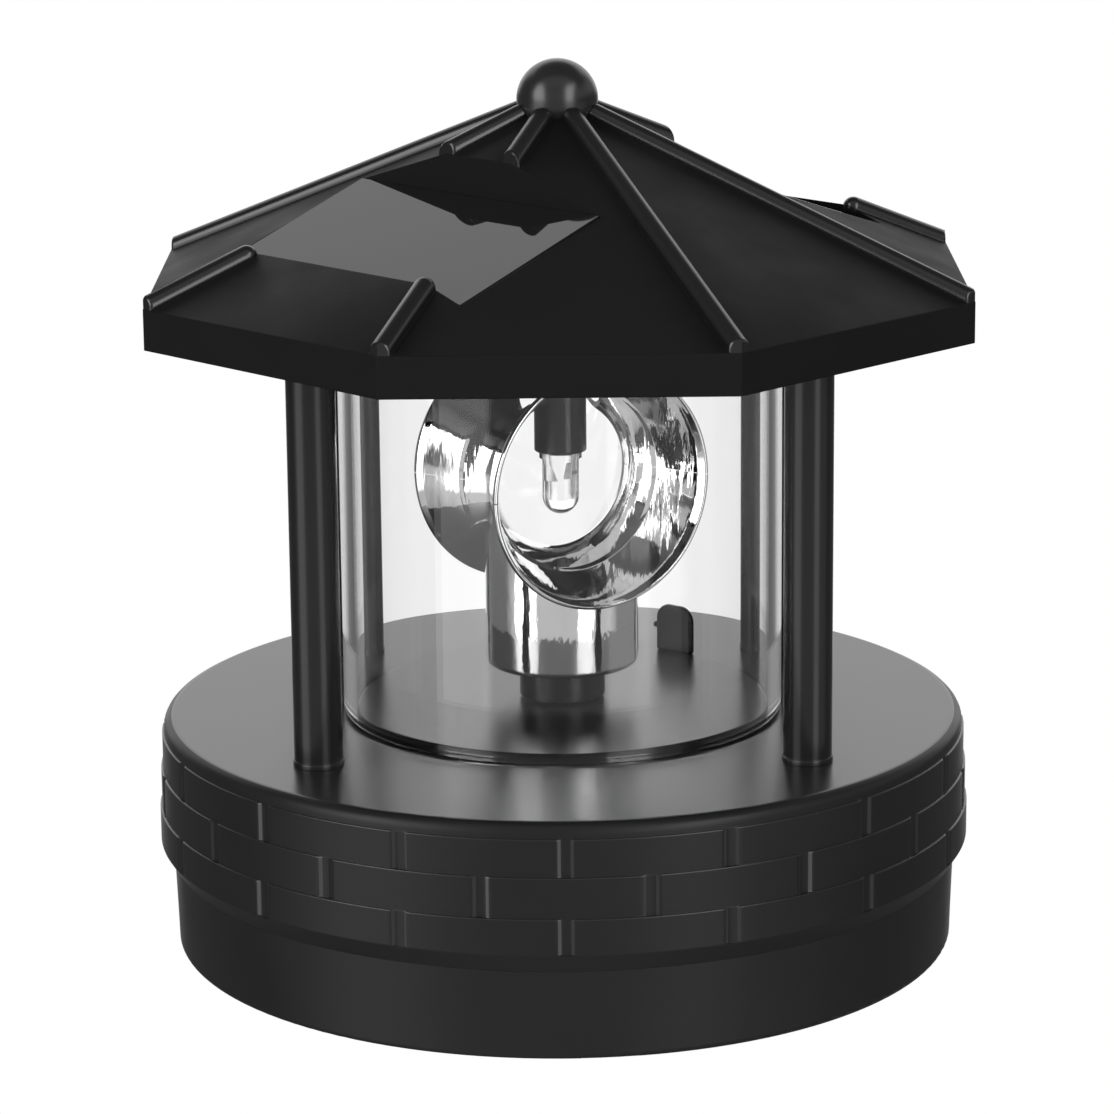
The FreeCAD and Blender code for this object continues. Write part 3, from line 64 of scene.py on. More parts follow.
def rounded(corners, segments=5):
    """Corners (x, y) or (x, y, radius) as points, each radius drawn as an arc."""
    points = []
    for i, corner in enumerate(corners):
        here = Vector(corner[:2])
        if len(corner) == 2:
            points.append(tuple(here))
            continue
        before = (Vector(corners[i - 1][:2]) - here).normalized()
        after = (Vector(corners[(i + 1) % len(corners)][:2]) - here).normalized()
        half = before.angle(after) / 2
        centre = here + (before + after).normalized() * corner[2] / math.sin(half)
        first = here + before * corner[2] / math.tan(half) - centre
        last = here + after * corner[2] / math.tan(half) - centre
        start = math.atan2(first.y, first.x)
        sweep = (math.atan2(last.y, last.x) - start + math.pi) % TURN - math.pi
        for k in range(segments + 1):
            angle = start + sweep * k / segments
            points.append((
                centre.x + corner[2] * math.cos(angle), centre.y + corner[2] * math.sin(angle)))
    return points


def turned(points, steps=160, closed=True):
    """A bmesh made by spinning an outline about Z."""
    bm = bmesh.new()
    verts = [bm.verts.new((x * MM, 0, z * MM)) for x, z in points]
    pairs = list(zip(verts, verts[1:]))
    if closed:
        pairs.append((verts[-1], verts[0]))
    edges = [bm.edges.new(pair) for pair in pairs if max(pair[0].co.x, pair[1].co.x) > ON_AXIS]
    bmesh.ops.spin(
        bm, geom=verts + edges, cent=(0, 0, 0), axis=(0, 0, 1), angle=TURN, steps=steps,
        use_merge=True)
    bmesh.ops.remove_doubles(bm, verts=bm.verts[:], dist=ON_AXIS)
    return bm


# %% [markdown]
# What isn't turned mostly starts from a box or a plain rod, and `soften` can break its edges.
# A Bevel modifier would do that too, but here it is done before pieces are joined, so each
# keeps its own rounding.

# %% Boxes, rods and soft edges
def shell_box(bm, size, centre):
    """Adds a closed box to bm: size and centre in millimetres."""
    scale = Matrix.Diagonal((size[0] * MM, size[1] * MM, size[2] * MM, 1))
    place = Matrix.Translation(Vector(centre) * MM)
    return bmesh.ops.create_cube(bm, size=1, matrix=place @ scale)["verts"]


def rod(bm, radius, length, base, segments=48):
    """Adds a closed upright cylinder standing on base."""
    place = Matrix.Translation((base[0] * MM, base[1] * MM, (base[2] + length / 2) * MM))
    return bmesh.ops.create_cone(
        bm, cap_ends=True, segments=segments, radius1=radius * MM, radius2=radius * MM,
        depth=length * MM, matrix=place)["verts"]


def soften(bm, edges, width, segments):
    """Rounds the given edges by width millimetres, as a mould does."""
    bmesh.ops.bevel(
        bm, geom=edges, offset=width * MM, segments=segments, profile=0.5, affect="EDGES",
        material=-1)


# %% [markdown]
# `piece` turns a bmesh into an object that rides on its body and stands for its CAD node.
# Faces are smooth, and an edge is sharp where two faces meet at more than the given angle.
# Weighted normals keep a long wall straight beside its small rounding: without them a clear
# wall bends light like a lens.

# %% Finish a piece
def as_object(name, bm):
    """Makes an object of bm, which it frees, and links it to the scene."""
    mesh = bpy.data.meshes.new(name)
    bm.to_mesh(mesh)
    bm.free()
    obj = bpy.data.objects.new(name, mesh)
    bpy.context.scene.collection.objects.link(obj)
    return obj


def piece(name, bm, body, nodes, *finishes, sharp=32):
    """A finished piece on its body, in place of its CAD nodes."""
    bmesh.ops.recalc_face_normals(bm, faces=bm.faces[:])
    obj = as_object(name, bm)
    obj.data.polygons.foreach_set("use_smooth", [True] * len(obj.data.polygons))
    obj.data.set_sharp_from_angle(angle=math.radians(sharp))
    for finish in finishes:
        obj.data.materials.append(finish)
    flatten = obj.modifiers.new("long_faces_stay_straight", "WEIGHTED_NORMAL")
    flatten.mode, flatten.keep_sharp = "FACE_AREA", True
    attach(obj, body)
    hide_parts(*nodes)
    print(f"{name}: {len(obj.data.polygons)} faces, "
          f"{[round(d * 1000, 1) for d in obj.dimensions]} mm")


# %% [markdown]
# Pieces of one moulding are joined in two ways.  `add` only puts closed shells side by side in
# one mesh, which is enough where they touch or overlap unseen.  `carve` runs an exact boolean,
# which is slower but is needed for a pocket or an opening.

# %% Join and cut
def add(bm, other):
    """Copies the closed shells of other into bm."""
    mesh = bpy.data.meshes.new("joined")
    other.to_mesh(mesh)
    other.free()
    bm.from_mesh(mesh)
    bpy.data.meshes.remove(mesh)


def carve(bm, tool, operation="DIFFERENCE"):
    """Cuts tool out of bm, or joins it, with an exact boolean."""
    holders = []
    for label, source in (("carve_base", bm), ("carve_tool", tool)):
        bmesh.ops.recalc_face_normals(source, faces=source.faces[:])
        holders.append(as_object(label, source))
    cut = holders[0].modifiers.new("cut", "BOOLEAN")
    cut.operation, cut.solver, cut.object = operation, "EXACT", holders[1]
    result = bmesh.new()
    result.from_object(holders[0], bpy.context.evaluated_depsgraph_get())
    for holder in holders:
        mesh = holder.data
        bpy.data.objects.remove(holder)
        bpy.data.meshes.remove(mesh)
    bmesh.ops.remove_doubles(result, verts=result.verts[:], dist=1e-6)
    return result


# %% [markdown]
# ## Materials
# Moulded plastic is never one flat colour, so every material is built from nodes: a broad noise
# in the piece's own coordinates varies the roughness and the colour a little, and a finer one
# drives the bump.  Painted images could do it too, but they need unwrapping and a file.  `edge`
# rounds the corners by that many millimetres for light alone, which saves thousands of faces.
# `stretch` and `heading` draw the noise out in one direction, for a plated moulding's streaks.

# %% Material builder
BROAD_SCALE, BROAD_DETAIL, FINE_DETAIL = 90.0, 4.0, 3.0
COLOUR_SHARE, COAT_ROUGH, CORNER_SAMPLES = 0.4, 0.04, 6


def material(name, colour, rough, metal=0.0, grain=900.0, bump=0.08, mottle=0.25, edge=0.0,
             coat=0.0, clear=0.0, ior=1.5, depth=0.1, stretch=(1, 1, 1), heading=0.0):
    """A procedural finish: grain is the fine noise's scale, bump its strength, depth its height."""
    mat = bpy.data.materials.new(name)
    mat.use_nodes = True
    nodes, links = mat.node_tree.nodes, mat.node_tree.links
    shader = nodes["Principled BSDF"]
    for socket, value in (
            ("Metallic", metal), ("IOR", ior), ("Coat Weight", coat),
            ("Coat Roughness", COAT_ROUGH), ("Transmission Weight", clear)):
        shader.inputs[socket].default_value = value
    coords = nodes.new("ShaderNodeTexCoord")
    scaled = nodes.new("ShaderNodeMapping")
    scaled.inputs["Scale"].default_value = stretch
    scaled.inputs["Rotation"].default_value = (0, 0, -heading)
    links.new(coords.outputs["Object"], scaled.inputs["Vector"])

    broad = nodes.new("ShaderNodeTexNoise")
    broad.inputs["Scale"].default_value = BROAD_SCALE
    broad.inputs["Detail"].default_value = BROAD_DETAIL
    links.new(scaled.outputs["Vector"], broad.inputs["Vector"])
    spread = nodes.new("ShaderNodeMapRange")
    spread.inputs["To Min"].default_value = rough * (1 - mottle)
    spread.inputs["To Max"].default_value = rough * (1 + mottle)
    links.new(broad.outputs["Fac"], spread.inputs["Value"])
    links.new(spread.outputs["Result"], shader.inputs["Roughness"])
    tint = nodes.new("ShaderNodeMix")
    tint.data_type = "RGBA"
    sway = mottle * COLOUR_SHARE
    tint.inputs["A"].default_value = (*[c * (1 - sway) for c in colour], 1)
    tint.inputs["B"].default_value = (*[min(1, c * (1 + sway)) for c in colour], 1)
    links.new(broad.outputs["Fac"], tint.inputs["Factor"])
    links.new(tint.outputs["Result"], shader.inputs["Base Color"])

    fine = nodes.new("ShaderNodeTexNoise")
    fine.inputs["Scale"].default_value = grain
    fine.inputs["Detail"].default_value = FINE_DETAIL
    links.new(scaled.outputs["Vector"], fine.inputs["Vector"])
    relief = nodes.new("ShaderNodeBump")
    relief.inputs["Strength"].default_value = bump
    relief.inputs["Distance"].default_value = depth * MM
    links.new(fine.outputs["Fac"], relief.inputs["Height"])
    if edge:
        corner = nodes.new("ShaderNodeBevel")
        corner.samples = CORNER_SAMPLES
        corner.inputs["Radius"].default_value = edge * MM
        links.new(corner.outputs["Normal"], relief.inputs["Normal"])
    links.new(relief.outputs["Normal"], shader.inputs["Normal"])
    return mat


# %% [markdown]
# All the mouldings are the same black plastic, but their moulds were finished differently: the
# deck and the ribs are polished, the base's wall is satin and the roof is nearly matt.  So each
# has its own roughness, and an index of refraction that sets how strongly it mirrors the room.

# %% Black plastics
black = material("black_plastic", (0.013, 0.013, 0.013), 0.25, bump=0.015, edge=0.25)
post_black = material("post_plastic", (0.01, 0.01, 0.01), 0.22, bump=0.015, edge=0.2, ior=1.4)
wall_black = material("wall_plastic", (0.012, 0.012, 0.012), 0.36, bump=0.02, edge=0.15, ior=1.27)
deck_black = material(
    "deck_plastic", (0.013, 0.013, 0.013), 0.29, bump=0.0, mottle=0.02, ior=1.72)
roof_black = material(
    "roof_plastic", (0.007, 0.007, 0.007), 0.55, bump=0.12, grain=1400, edge=0.3, ior=1.18)
rib_black = material("rib_plastic", (0.008, 0.008, 0.008), 0.22, bump=0.02)

# %% [markdown]
# The mirror is chromed plastic with faint streaks from its mould, so its noise is stretched
# and turned to the horns' heading.  The drum is almost free of texture, because any unevenness
# shows twice, where light enters and where it leaves.  Its specular tint keeps what it mirrors
# faint, so that the mirror behind it stays clear.  The metals, the board, the cell's sleeve
# and the wires are inside the lamp and show little.

# %% Chrome, clear plastic and the rest
MIRROR_TURN = math.radians(30.6)
chrome = material(
    "chromed_plastic", (0.88, 0.88, 0.88), 0.05, metal=1.0, bump=0.22, depth=0.3, grain=150,
    mottle=0.2, stretch=(4, 1, 1), heading=MIRROR_TURN - math.pi / 2)
clear = material(
    "clear_plastic", (1, 1, 1), 0.004, clear=1.0, ior=1.49, bump=0.0005, grain=40, mottle=0.01)
clear_shader = clear.node_tree.nodes["Principled BSDF"]
clear_shader.inputs["Specular Tint"].default_value = (0.6, 0.6, 0.6, 1)
lamp_clear = material(
    "lamp_lens", (1, 1, 1), 0.01, clear=1.0, ior=1.5, bump=0.02, grain=500, mottle=0.01)
solar = material("solar_cell", (0.012, 0.012, 0.013), 0.03, bump=0.002, grain=300, ior=1.35)
steel = material("plated_steel", (0.55, 0.55, 0.55), 0.25, metal=1.0, grain=1500)
brass = material("brass", (0.7, 0.5, 0.2), 0.28, metal=1.0, grain=1500)
nylon = material("white_plastic", (0.75, 0.74, 0.7), 0.5)
grey = material("grey_plastic", (0.15, 0.15, 0.155), 0.5)
sleeve = material("cell_sleeve", (0.05, 0.28, 0.1), 0.25, coat=0.5)
board = material("board", (0.02, 0.16, 0.05), 0.35, grain=400)
rubber = material("wire_sleeve", (0.3, 0.02, 0.02), 0.45)

# %% [markdown]
# The CAD nodes that no finer piece stands for, such as the gears and the motor, keep their
# solids.  Each names a material slot, and here it gets that finish, but the plinth's cup takes
# the wall's.

# %% Materials of the CAD nodes
SLOTS = {
    "black_plastic": black, "chromed_plastic": chrome, "clear_plastic": clear,
    "lamp_lens": lamp_clear, "solar_cell": solar, "plated_steel": steel, "brass": brass,
    "white_plastic": nylon, "grey_plastic": grey, "cell_sleeve": sleeve, "board": board,
    "wire_sleeve": rubber,
}
for row in frame["record"]["subparts"]:
    mesh = frame["nodes"][row["node"]].data
    finish = wall_black if row["node"] == "plinth_cup" else SLOTS[row["material_slot"]]
    for index in range(len(mesh.materials)):
        mesh.materials[index] = finish

# %% [markdown]
# ## Base
# The upper half of the base is one moulding: the deck, a low boss inside the drum and a band
# of three brick courses, each standing a little prouder than the one above.  Stacked discs
# could show as much, but one spun outline gives it all as one closed shell, with the roll of
# the rim and the small edges of the bricks.  Its ring has 832 faces, so that a joint between
# bricks can be five faces wide and half a brick 26.

# %% Outline of the housing
DECK_TOP, DECK_UNDER, BOSS_TOP, BOSS_RADIUS = 32.0, 30.0, 33.3, 28.15
RIM, INNER, SEAM, SEAM_Z, SHAFT_WAY = 54.7, 52.2, 53.8, 12.1, 3.02
LINES, STEP = (30.0, 25.0, 19.6, 14.8), 0.27
COURSES = len(LINES) - 1
BOSS_ROLL, RIM_ROLL, BRICK_ROLL, FOOT_ROLL = 0.3, 1.5, 0.2, 0.4
RING, BRICK = 832, 52

outline = [(SHAFT_WAY, BOSS_TOP), (BOSS_RADIUS, BOSS_TOP, BOSS_ROLL), (BOSS_RADIUS, DECK_TOP),
           (RIM, DECK_TOP, RIM_ROLL)]
for course in range(COURSES):
    radius = RIM + STEP * (course + 1)
    outline += [(radius - STEP, LINES[course]), (radius, LINES[course], BRICK_ROLL)]
    if course < COURSES - 1:
        outline += [(radius, LINES[course + 1])]
outline += [(RIM + STEP * COURSES, LINES[COURSES], FOOT_ROLL), (SEAM, SEAM_Z), (INNER, SEAM_Z),
            (INNER, DECK_UNDER), (SHAFT_WAY, DECK_UNDER)]
base = turned(rounded(outline), steps=RING)
print("housing ring", RING, "faces round, outline of", len(outline), "corners")

# %% [markdown]
# The bricks are only suggested, by grooves at their joints.  48 booleans could cut those, but
# the ring's own points do it faster.  At each joint four points round are drawn in almost to
# the face of the course above, which leaves a groove with slanted sides and also breaks the
# ledge on top of the bricks, as on the real moulding.

# %% Brick joints
GROOVE_PROUD, NEAR = 0.03, 0.02
segment = TURN / RING
for course in range(COURSES):
    groove_face = RIM + STEP * course + GROOVE_PROUD
    phase = BRICK // 2 if course == 1 else 0
    moved = 0
    for v in base.verts:
        place = round(math.atan2(v.co.y, v.co.x) / segment)
        within = LINES[course + 1] - NEAR < v.co.z / MM < LINES[course] + NEAR
        proud = v.co.xy.length > groove_face * MM
        if within and proud and (place - phase) % BRICK in (BRICK - 1, 0, 1, 2):
            v.co.xy = v.co.xy.normalized() * groove_face * MM
            moved += 1
    print("course", course + 1, "joint points", moved)
base.normal_update()

# %% [markdown]
# Under the deck are sleeves for the posts, tubes for the case screws, standoffs for the gear
# plate and a boss for the idler's pin.  All are hidden in the closed base, so plain rods that
# run a little way into the deck are enough, and no boolean is needed.

# %% Bosses under the deck
POST_CIRCLE, POST_SPREAD, POST_FOOT = 42.5, math.radians(49), 28.6
POST_AT = [(sx * POST_CIRCLE * math.sin(POST_SPREAD), sy * POST_CIRCLE * math.cos(POST_SPREAD))
           for sy in (-1, 1) for sx in (-1, 1)]
CASE_CIRCLE = 45.8
CASE_AT = [(CASE_CIRCLE * math.cos(math.radians(a)), CASE_CIRCLE * math.sin(math.radians(a)))
           for a in (20, 160, 200, 340)]
STANDOFF_AT = ((-19.5, 5), (19.5, 5), (-13, 40), (13, 40))
IDLER_AT = ((0, 18),)
INTO_DECK = 0.2
for places, radius, foot in ((POST_AT, 4.3, POST_FOOT), (CASE_AT, 3.2, 12.0),
                             (STANDOFF_AT, 2.8, 18.6), (IDLER_AT, 3.0, 27.0)):
    for x, y in places:
        rod(base, radius, DECK_UNDER + INTO_DECK - foot, (x, y, foot))
    print("bosses of radius", radius, "mm:", len(places))

# %% [markdown]
# The locating tab stands on the boss just inside the drum: a flat tongue with round shoulders
# and a small bead on one side edge.  A box could be bevelled to that, but its front view is
# easier to match as an outline, which is drawn as one face and pushed out to its thickness.

# %% Locating tab
TAB_HEADING, TAB_RADIUS, TAB_THICK, TAB_HALF, TAB_TALL = math.radians(53.0), 26.75, 1.2, 3.05, 6.7
TAB_ROLL, BEAD, BEAD_AT = 0.35, 0.42, (0.3, 3.2, 3.6)
tab = bmesh.new()
shape = rounded([
    (-TAB_HALF, 0), (TAB_HALF, 0), (TAB_HALF, TAB_TALL, 2.0), (-TAB_HALF, TAB_TALL, 2.2)],
    segments=8)
front = tab.faces.new([tab.verts.new((0, u * MM, w * MM)) for u, w in shape])
grown = bmesh.ops.extrude_face_region(tab, geom=[front])
pushed = [v for v in grown["geom"] if isinstance(v, bmesh.types.BMVert)]
bmesh.ops.translate(tab, verts=pushed, vec=(TAB_THICK * MM, 0, 0))
soften(tab, tab.edges[:], TAB_ROLL, 3)
bead = bmesh.ops.create_uvsphere(tab, u_segments=24, v_segments=16, radius=BEAD * MM)["verts"]
bmesh.ops.translate(tab, verts=bead, vec=Vector(BEAD_AT) * MM)
stand = Matrix.Translation((TAB_RADIUS * MM, 0, BOSS_TOP * MM))
bmesh.ops.transform(tab, matrix=Matrix.Rotation(TAB_HEADING, 4, "Z") @ stand, verts=tab.verts[:])
print("tab", len(tab.faces), "faces")
add(base, tab)

# %% [markdown]
# One moulding takes three finishes: satin on the wall, polished on the deck, and gloss on the
# tab and on the thin ledges and groove sides, which catch the light as fine lines.  Three
# objects could carry them, but material slots keep the moulding whole.  A face is told apart
# by its height and by the way that it faces.

# %% Finishes of the housing
LEDGE_BAND, CLEAR_OF_LINE, DECK_BAND = 0.25, 0.1, 0.1
for face in base.faces:
    middle = face.calc_center_median()
    height = middle.z / MM
    level = abs(face.normal.z)
    outward = middle.xy.normalized().dot(face.normal.xy)
    ledge = any(abs(height - line) < LEDGE_BAND for line in LINES[:COURSES]) and level > 0.3
    on_band = LINES[COURSES] + CLEAR_OF_LINE < height < LINES[0] - CLEAR_OF_LINE
    groove_side = on_band and level < 0.3 and 0.3 < outward < 0.95
    if height > BOSS_TOP + 0.01 or ledge or groove_side:
        face.material_index = 2
    elif height > DECK_TOP - DECK_BAND and level > 0.9:
        face.material_index = 1
piece("base_housing_fine", base, "frame", ["base_housing"], wall_black, deck_black, black)

# %% [markdown]
# ## Posts
# The four posts carry the roof.  Each has a low collar at its foot, a plain shaft, a spigot at
# each end and a bore right through.  Rings added to a cylinder could look the same, but one
# spun outline is a closed shell with no faces inside it.

# %% Posts
POST_NAMES = ("post_front_left", "post_front_right", "post_rear_left", "post_rear_right")
POST, POST_BORE, SPIGOT, SPIGOT_TOP = 3.22, 1.9, 2.7, 90.5
COLLAR, COLLAR_TOP, COLLAR_ROLL = 3.37, 32.8, 0.25
CEILING = 88.0
for name, (x, y) in zip(POST_NAMES, POST_AT):
    post = turned(rounded([
        (POST_BORE, POST_FOOT), (SPIGOT, POST_FOOT), (SPIGOT, DECK_TOP), (COLLAR, DECK_TOP),
        (COLLAR, COLLAR_TOP, COLLAR_ROLL), (POST, COLLAR_TOP), (POST, CEILING),
        (SPIGOT, CEILING), (SPIGOT, SPIGOT_TOP), (POST_BORE, SPIGOT_TOP)]), steps=96)
    bmesh.ops.translate(post, verts=post.verts[:], vec=(x * MM, y * MM, 0))
    piece(name + "_fine", post, "frame", [name], post_black)

# %% [markdown]
# ## Clear drum
# The drum is a plain tube with its edges just broken and its outer foot rounded.  It could be a
# single sheet, but light bends twice in each wall, so the wall's real thickness matters: it
# draws the dark lines beside the drum's edges, and a sheet would show none of them.

# %% Clear drum
DRUM, DRUM_WALL, BROKEN_EDGE, DRUM_FOOT_ROLL = 30.05, 1.75, 0.12, 0.8
DRUM_INSIDE = DRUM - DRUM_WALL
drum = turned(rounded([
    (DRUM_INSIDE, DECK_TOP, BROKEN_EDGE), (DRUM, DECK_TOP, DRUM_FOOT_ROLL),
    (DRUM, CEILING, BROKEN_EDGE), (DRUM_INSIDE, CEILING, BROKEN_EDGE)], segments=4), steps=320)
piece("clear_drum_fine", drum, "frame", ["clear_drum"], clear)

# %% [markdown]
# ## Turning mirror
# The mirror turns round the lamp: two horns back to back, open at both ends, on a cup.  It is
# a lower and an upper moulding that meet level with the horns' axis.  The horns' wall could be
# a bent sheet with a Solidify modifier, but its lip is thicker and rounded, so the whole wall
# is one outline, with a smooth curve through a few points read from the picture.

# %% Outline of the horns
HORN_Z, HORN_WALL, LIP_START, WAIST_POINTS = 64.6, 0.7, 10.2, 5
INSIDE = [(10.0, 0.0), (10.35, 1.0), (10.95, 2.1), (11.75, 3.2), (12.35, 3.95), (12.72, 4.15),
          (13.2, 5.1), (13.8, 6.4), (14.4, 7.8), (15.0, 9.2), (15.5, 10.3), (15.9, 10.9),
          (16.1, 11.2)]
LIP = [(16.35, 11.3), (16.55, 11.2), (16.6, 11.0), (16.6, 10.7), (16.5, 10.45)]


def between(q0, q1, q2, q3, t):
    """The curve through q1 and q2 at t from 0 to 1, with q0 and q3 as its neighbours."""
    return 0.5 * (2 * q1 + (q2 - q0) * t + (2 * q0 - 5 * q1 + 4 * q2 - q3) * t * t
                  + (3 * q1 - q0 - 3 * q2 + q3) * t ** 3)


def smooth_curve(points, parts=4):
    """Extra points on a smooth curve through the given ones."""
    ends = [points[0], *points, points[-1]]
    curve = []
    for a, b, c, d in zip(ends, ends[1:], ends[2:], ends[3:]):
        for k in range(parts):
            curve.append(tuple(between(*quad, k / parts) for quad in zip(a, b, c, d)))
    return curve + [points[-1]]


flare = smooth_curve(INSIDE[:WAIST_POINTS]) + smooth_curve(INSIDE[WAIST_POINTS:])
outside = [(radius + HORN_WALL, reach) for radius, reach in flare if reach < LIP_START]
section = flare + LIP + outside[::-1]
section = [(r, -s) for r, s in section[::-1]] + section[1:]
print("horn outline", len(section), "points")

# %% [markdown]
# Half a spin of that outline about a level axis gives one moulding.  A whole spin cut in two
# would need a boolean and leave no seam.  Each half stops a fifth of a degree short at both
# ends, so that a fine seam shows on the lips, as in the picture.

# %% Half of the horns
SHORT = math.radians(0.2)


def horn_half(upper):
    """The upper or the lower half of both horns."""
    bm = bmesh.new()
    verts = [bm.verts.new((s * MM, r * MM, 0)) for r, s in section]
    edges = [bm.edges.new((verts[i], verts[(i + 1) % len(verts)])) for i in range(len(verts))]
    side = 1 if upper else -1
    bmesh.ops.rotate(bm, verts=verts, cent=(0, 0, 0), matrix=Matrix.Rotation(side * SHORT, 3, "X"))
    bmesh.ops.spin(
        bm, geom=verts + edges, cent=(0, 0, 0), axis=(1, 0, 0),
        angle=side * (math.pi - 2 * SHORT), steps=120)
    rims = [e for e in bm.edges if e.is_boundary]
    bmesh.ops.triangle_fill(bm, use_beauty=True, use_dissolve=False, edges=rims)
    bmesh.ops.remove_doubles(bm, verts=bm.verts[:], dist=ON_AXIS)
    heading = Matrix.Rotation(MIRROR_TURN - math.pi / 2, 4, "Z")
    lift = Matrix.Translation((0, 0, HORN_Z * MM))
    bmesh.ops.transform(bm, matrix=lift @ heading, verts=bm.verts[:])
    return bm


# %% [markdown]
# The cup is a round tube whose top has to follow the horns.  A boolean could cut it, but would
# leave ragged faces along that line, so the tube's top ring is lifted instead, point by point,
# to just inside the horns' wall.

# %% Cup and lower half
CUP, CUP_WALL, CUP_BOTTOM, CUP_ROLL = 10.45, 1.0, 38.25, 0.95
CUP_SHOULDER, CUP_TOP, OVERLAP = 45.0, 46.0, 0.25
CUP_INSIDE = CUP - CUP_WALL


def outer_radius(reach):
    """The horns' outside radius at a distance from the turning axis."""
    for (r0, s0), (r1, s1) in zip(outside, outside[1:]):
        if s0 <= reach <= s1 and s1 > s0:
            return r0 + (r1 - r0) * (reach - s0) / (s1 - s0)
    return outside[-1][0]


cup = turned(rounded([
    (CUP_INSIDE, CUP_BOTTOM), (CUP, CUP_BOTTOM, CUP_ROLL), (CUP, CUP_SHOULDER),
    (CUP, CUP_TOP), (CUP_INSIDE, CUP_TOP), (CUP_INSIDE, CUP_SHOULDER)]), steps=256)
horn_axis = Vector((math.sin(MIRROR_TURN), -math.cos(MIRROR_TURN)))
for v in cup.verts:
    if v.co.z > (CUP_SHOULDER + CUP_TOP) / 2 * MM:
        spot = v.co.xy / MM
        reach = abs(spot.dot(horn_axis))
        across = math.sqrt(max(spot.length_squared - reach ** 2, 0))
        drop = math.sqrt(max((outer_radius(reach) - OVERLAP) ** 2 - across ** 2, 0))
        v.co.z = (HORN_Z - drop) * MM
lower = horn_half(False)
add(lower, cup)
piece("mirror_lower_fine", lower, "mirror", ["mirror_lower"], chrome, sharp=50)

# %% [markdown]
# The upper half has a round opening in its crown, through which the lamp hangs.  Its edge lies
# on a curved wall, so here a boolean with a rod is the simplest way.

# %% Upper half
OPENING, OPENING_FOOT, OPENING_TALL = 5.5, HORN_Z + 2, 20
opening = bmesh.new()
rod(opening, OPENING, OPENING_TALL, (0, 0, OPENING_FOOT), segments=96)
upper = carve(horn_half(True), opening)
piece("mirror_upper_fine", upper, "mirror", ["mirror_upper"], chrome, sharp=50)

# %% [markdown]
# ## Hub and lamp holder
# The black stub turns with the mirror and plugs into its cup.  The holder is a plain tube with
# a flange that hangs from the ceiling.  Cylinders could be stacked and bored, but an outline
# gives the plug, the flange and the bores at once.

# %% Hub
HUB, HUB_FOOT, HUB_ROLL, SHAFT_HOLE, HOLE_TOP = 5.85, 33.6, 0.3, 1.52, 39.2
PLUG, PLUG_FOOT, PLUG_TOP = 9.43, 38.85, 41.85
hub = turned(rounded([
    (SHAFT_HOLE, HUB_FOOT), (HUB, HUB_FOOT, HUB_ROLL), (HUB, PLUG_FOOT), (PLUG, PLUG_FOOT),
    (PLUG, PLUG_TOP), (0, PLUG_TOP), (0, HOLE_TOP), (SHAFT_HOLE, HOLE_TOP)]), steps=128)
piece("drive_hub_fine", hub, "mirror", ["drive_hub"], black)

# %% Lamp holder
HOLDER, HOLDER_BORE, HOLDER_FOOT = 3.55, 2.3, 67.8
HOLDER_FLANGE, FLANGE_FOOT, FLANGE_TOP = 5.5, 90.0, 91.2
BORE_ROLL, HOLDER_ROLL = 0.15, 0.2
holder = turned(rounded([
    (HOLDER_BORE, HOLDER_FOOT, BORE_ROLL), (HOLDER, HOLDER_FOOT, HOLDER_ROLL),
    (HOLDER, FLANGE_FOOT), (HOLDER_FLANGE, FLANGE_FOOT), (HOLDER_FLANGE, FLANGE_TOP),
    (HOLDER_BORE, FLANGE_TOP)]), steps=128)
piece("lamp_holder_fine", holder, "frame", ["lamp_holder"], black)

# %% [markdown]
# ## Lamp
# The lamp is a standard 5 mm diode: a clear rod that points down, with a domed tip and a flange
# at its other end.  A sphere joined to a cylinder could leave a line where they meet, so the
# dome's arc is part of the outline that is spun.

# %% Lens
TIP, LED, LED_FLANGE = 59.0, 2.5, 2.9
FLANGE_LOW, FLANGE_HIGH, FLANGE_CHAMFER = 66.8, 67.75, 0.05
DOME_STEPS = 20
dome = []
for k in range(DOME_STEPS + 1):
    tilt = k * math.pi / (2 * DOME_STEPS)
    dome.append((LED * math.sin(tilt), TIP + LED - LED * math.cos(tilt)))
lens = turned(dome + [
    (LED, FLANGE_LOW), (LED_FLANGE, FLANGE_LOW + FLANGE_CHAMFER), (LED_FLANGE, FLANGE_HIGH),
    (LED_FLANGE - FLANGE_CHAMFER, HOLDER_FOOT), (0, HOLDER_FOOT)], steps=128)
piece("led_lens_fine", lens, "frame", ["led_lens"], lamp_clear)

# %% [markdown]
# Inside the lens are two leads of stamped strip, which show through it.  One ends in a wide
# head for the chip and the other in a narrow one, each with its inner top corner cut away.
# Boxes with moved corners and soft edges are enough for parts of this size.

# %% Leads
LEAD, LEAD_LONG, LEAD_MIDDLE, LEAD_APART = 0.5, 18.0, 74.0, 1.27
HEAD_THICK, HEAD_TALL, HEAD_APART, CUT_AWAY, LEAD_ROLL = 0.55, 2.2, 0.25, 0.4, 0.06
leads = bmesh.new()
for side, width, bottom in ((-1, 1.5, 63.6), (1, 0.7, 63.9)):
    shell_box(leads, (LEAD, LEAD, LEAD_LONG), (LEAD_APART * side, 0, LEAD_MIDDLE))
    centre = (side * (HEAD_APART + width / 2), 0, bottom + HEAD_TALL / 2)
    for v in shell_box(leads, (width, HEAD_THICK, HEAD_TALL), centre):
        if v.co.z > centre[2] * MM and abs(v.co.x) < abs(centre[0]) * MM:
            v.co.x += side * width * CUT_AWAY * MM
soften(leads, leads.edges[:], LEAD_ROLL, 2)
piece("led_leads_fine", leads, "frame", ["led_leads"], steel)

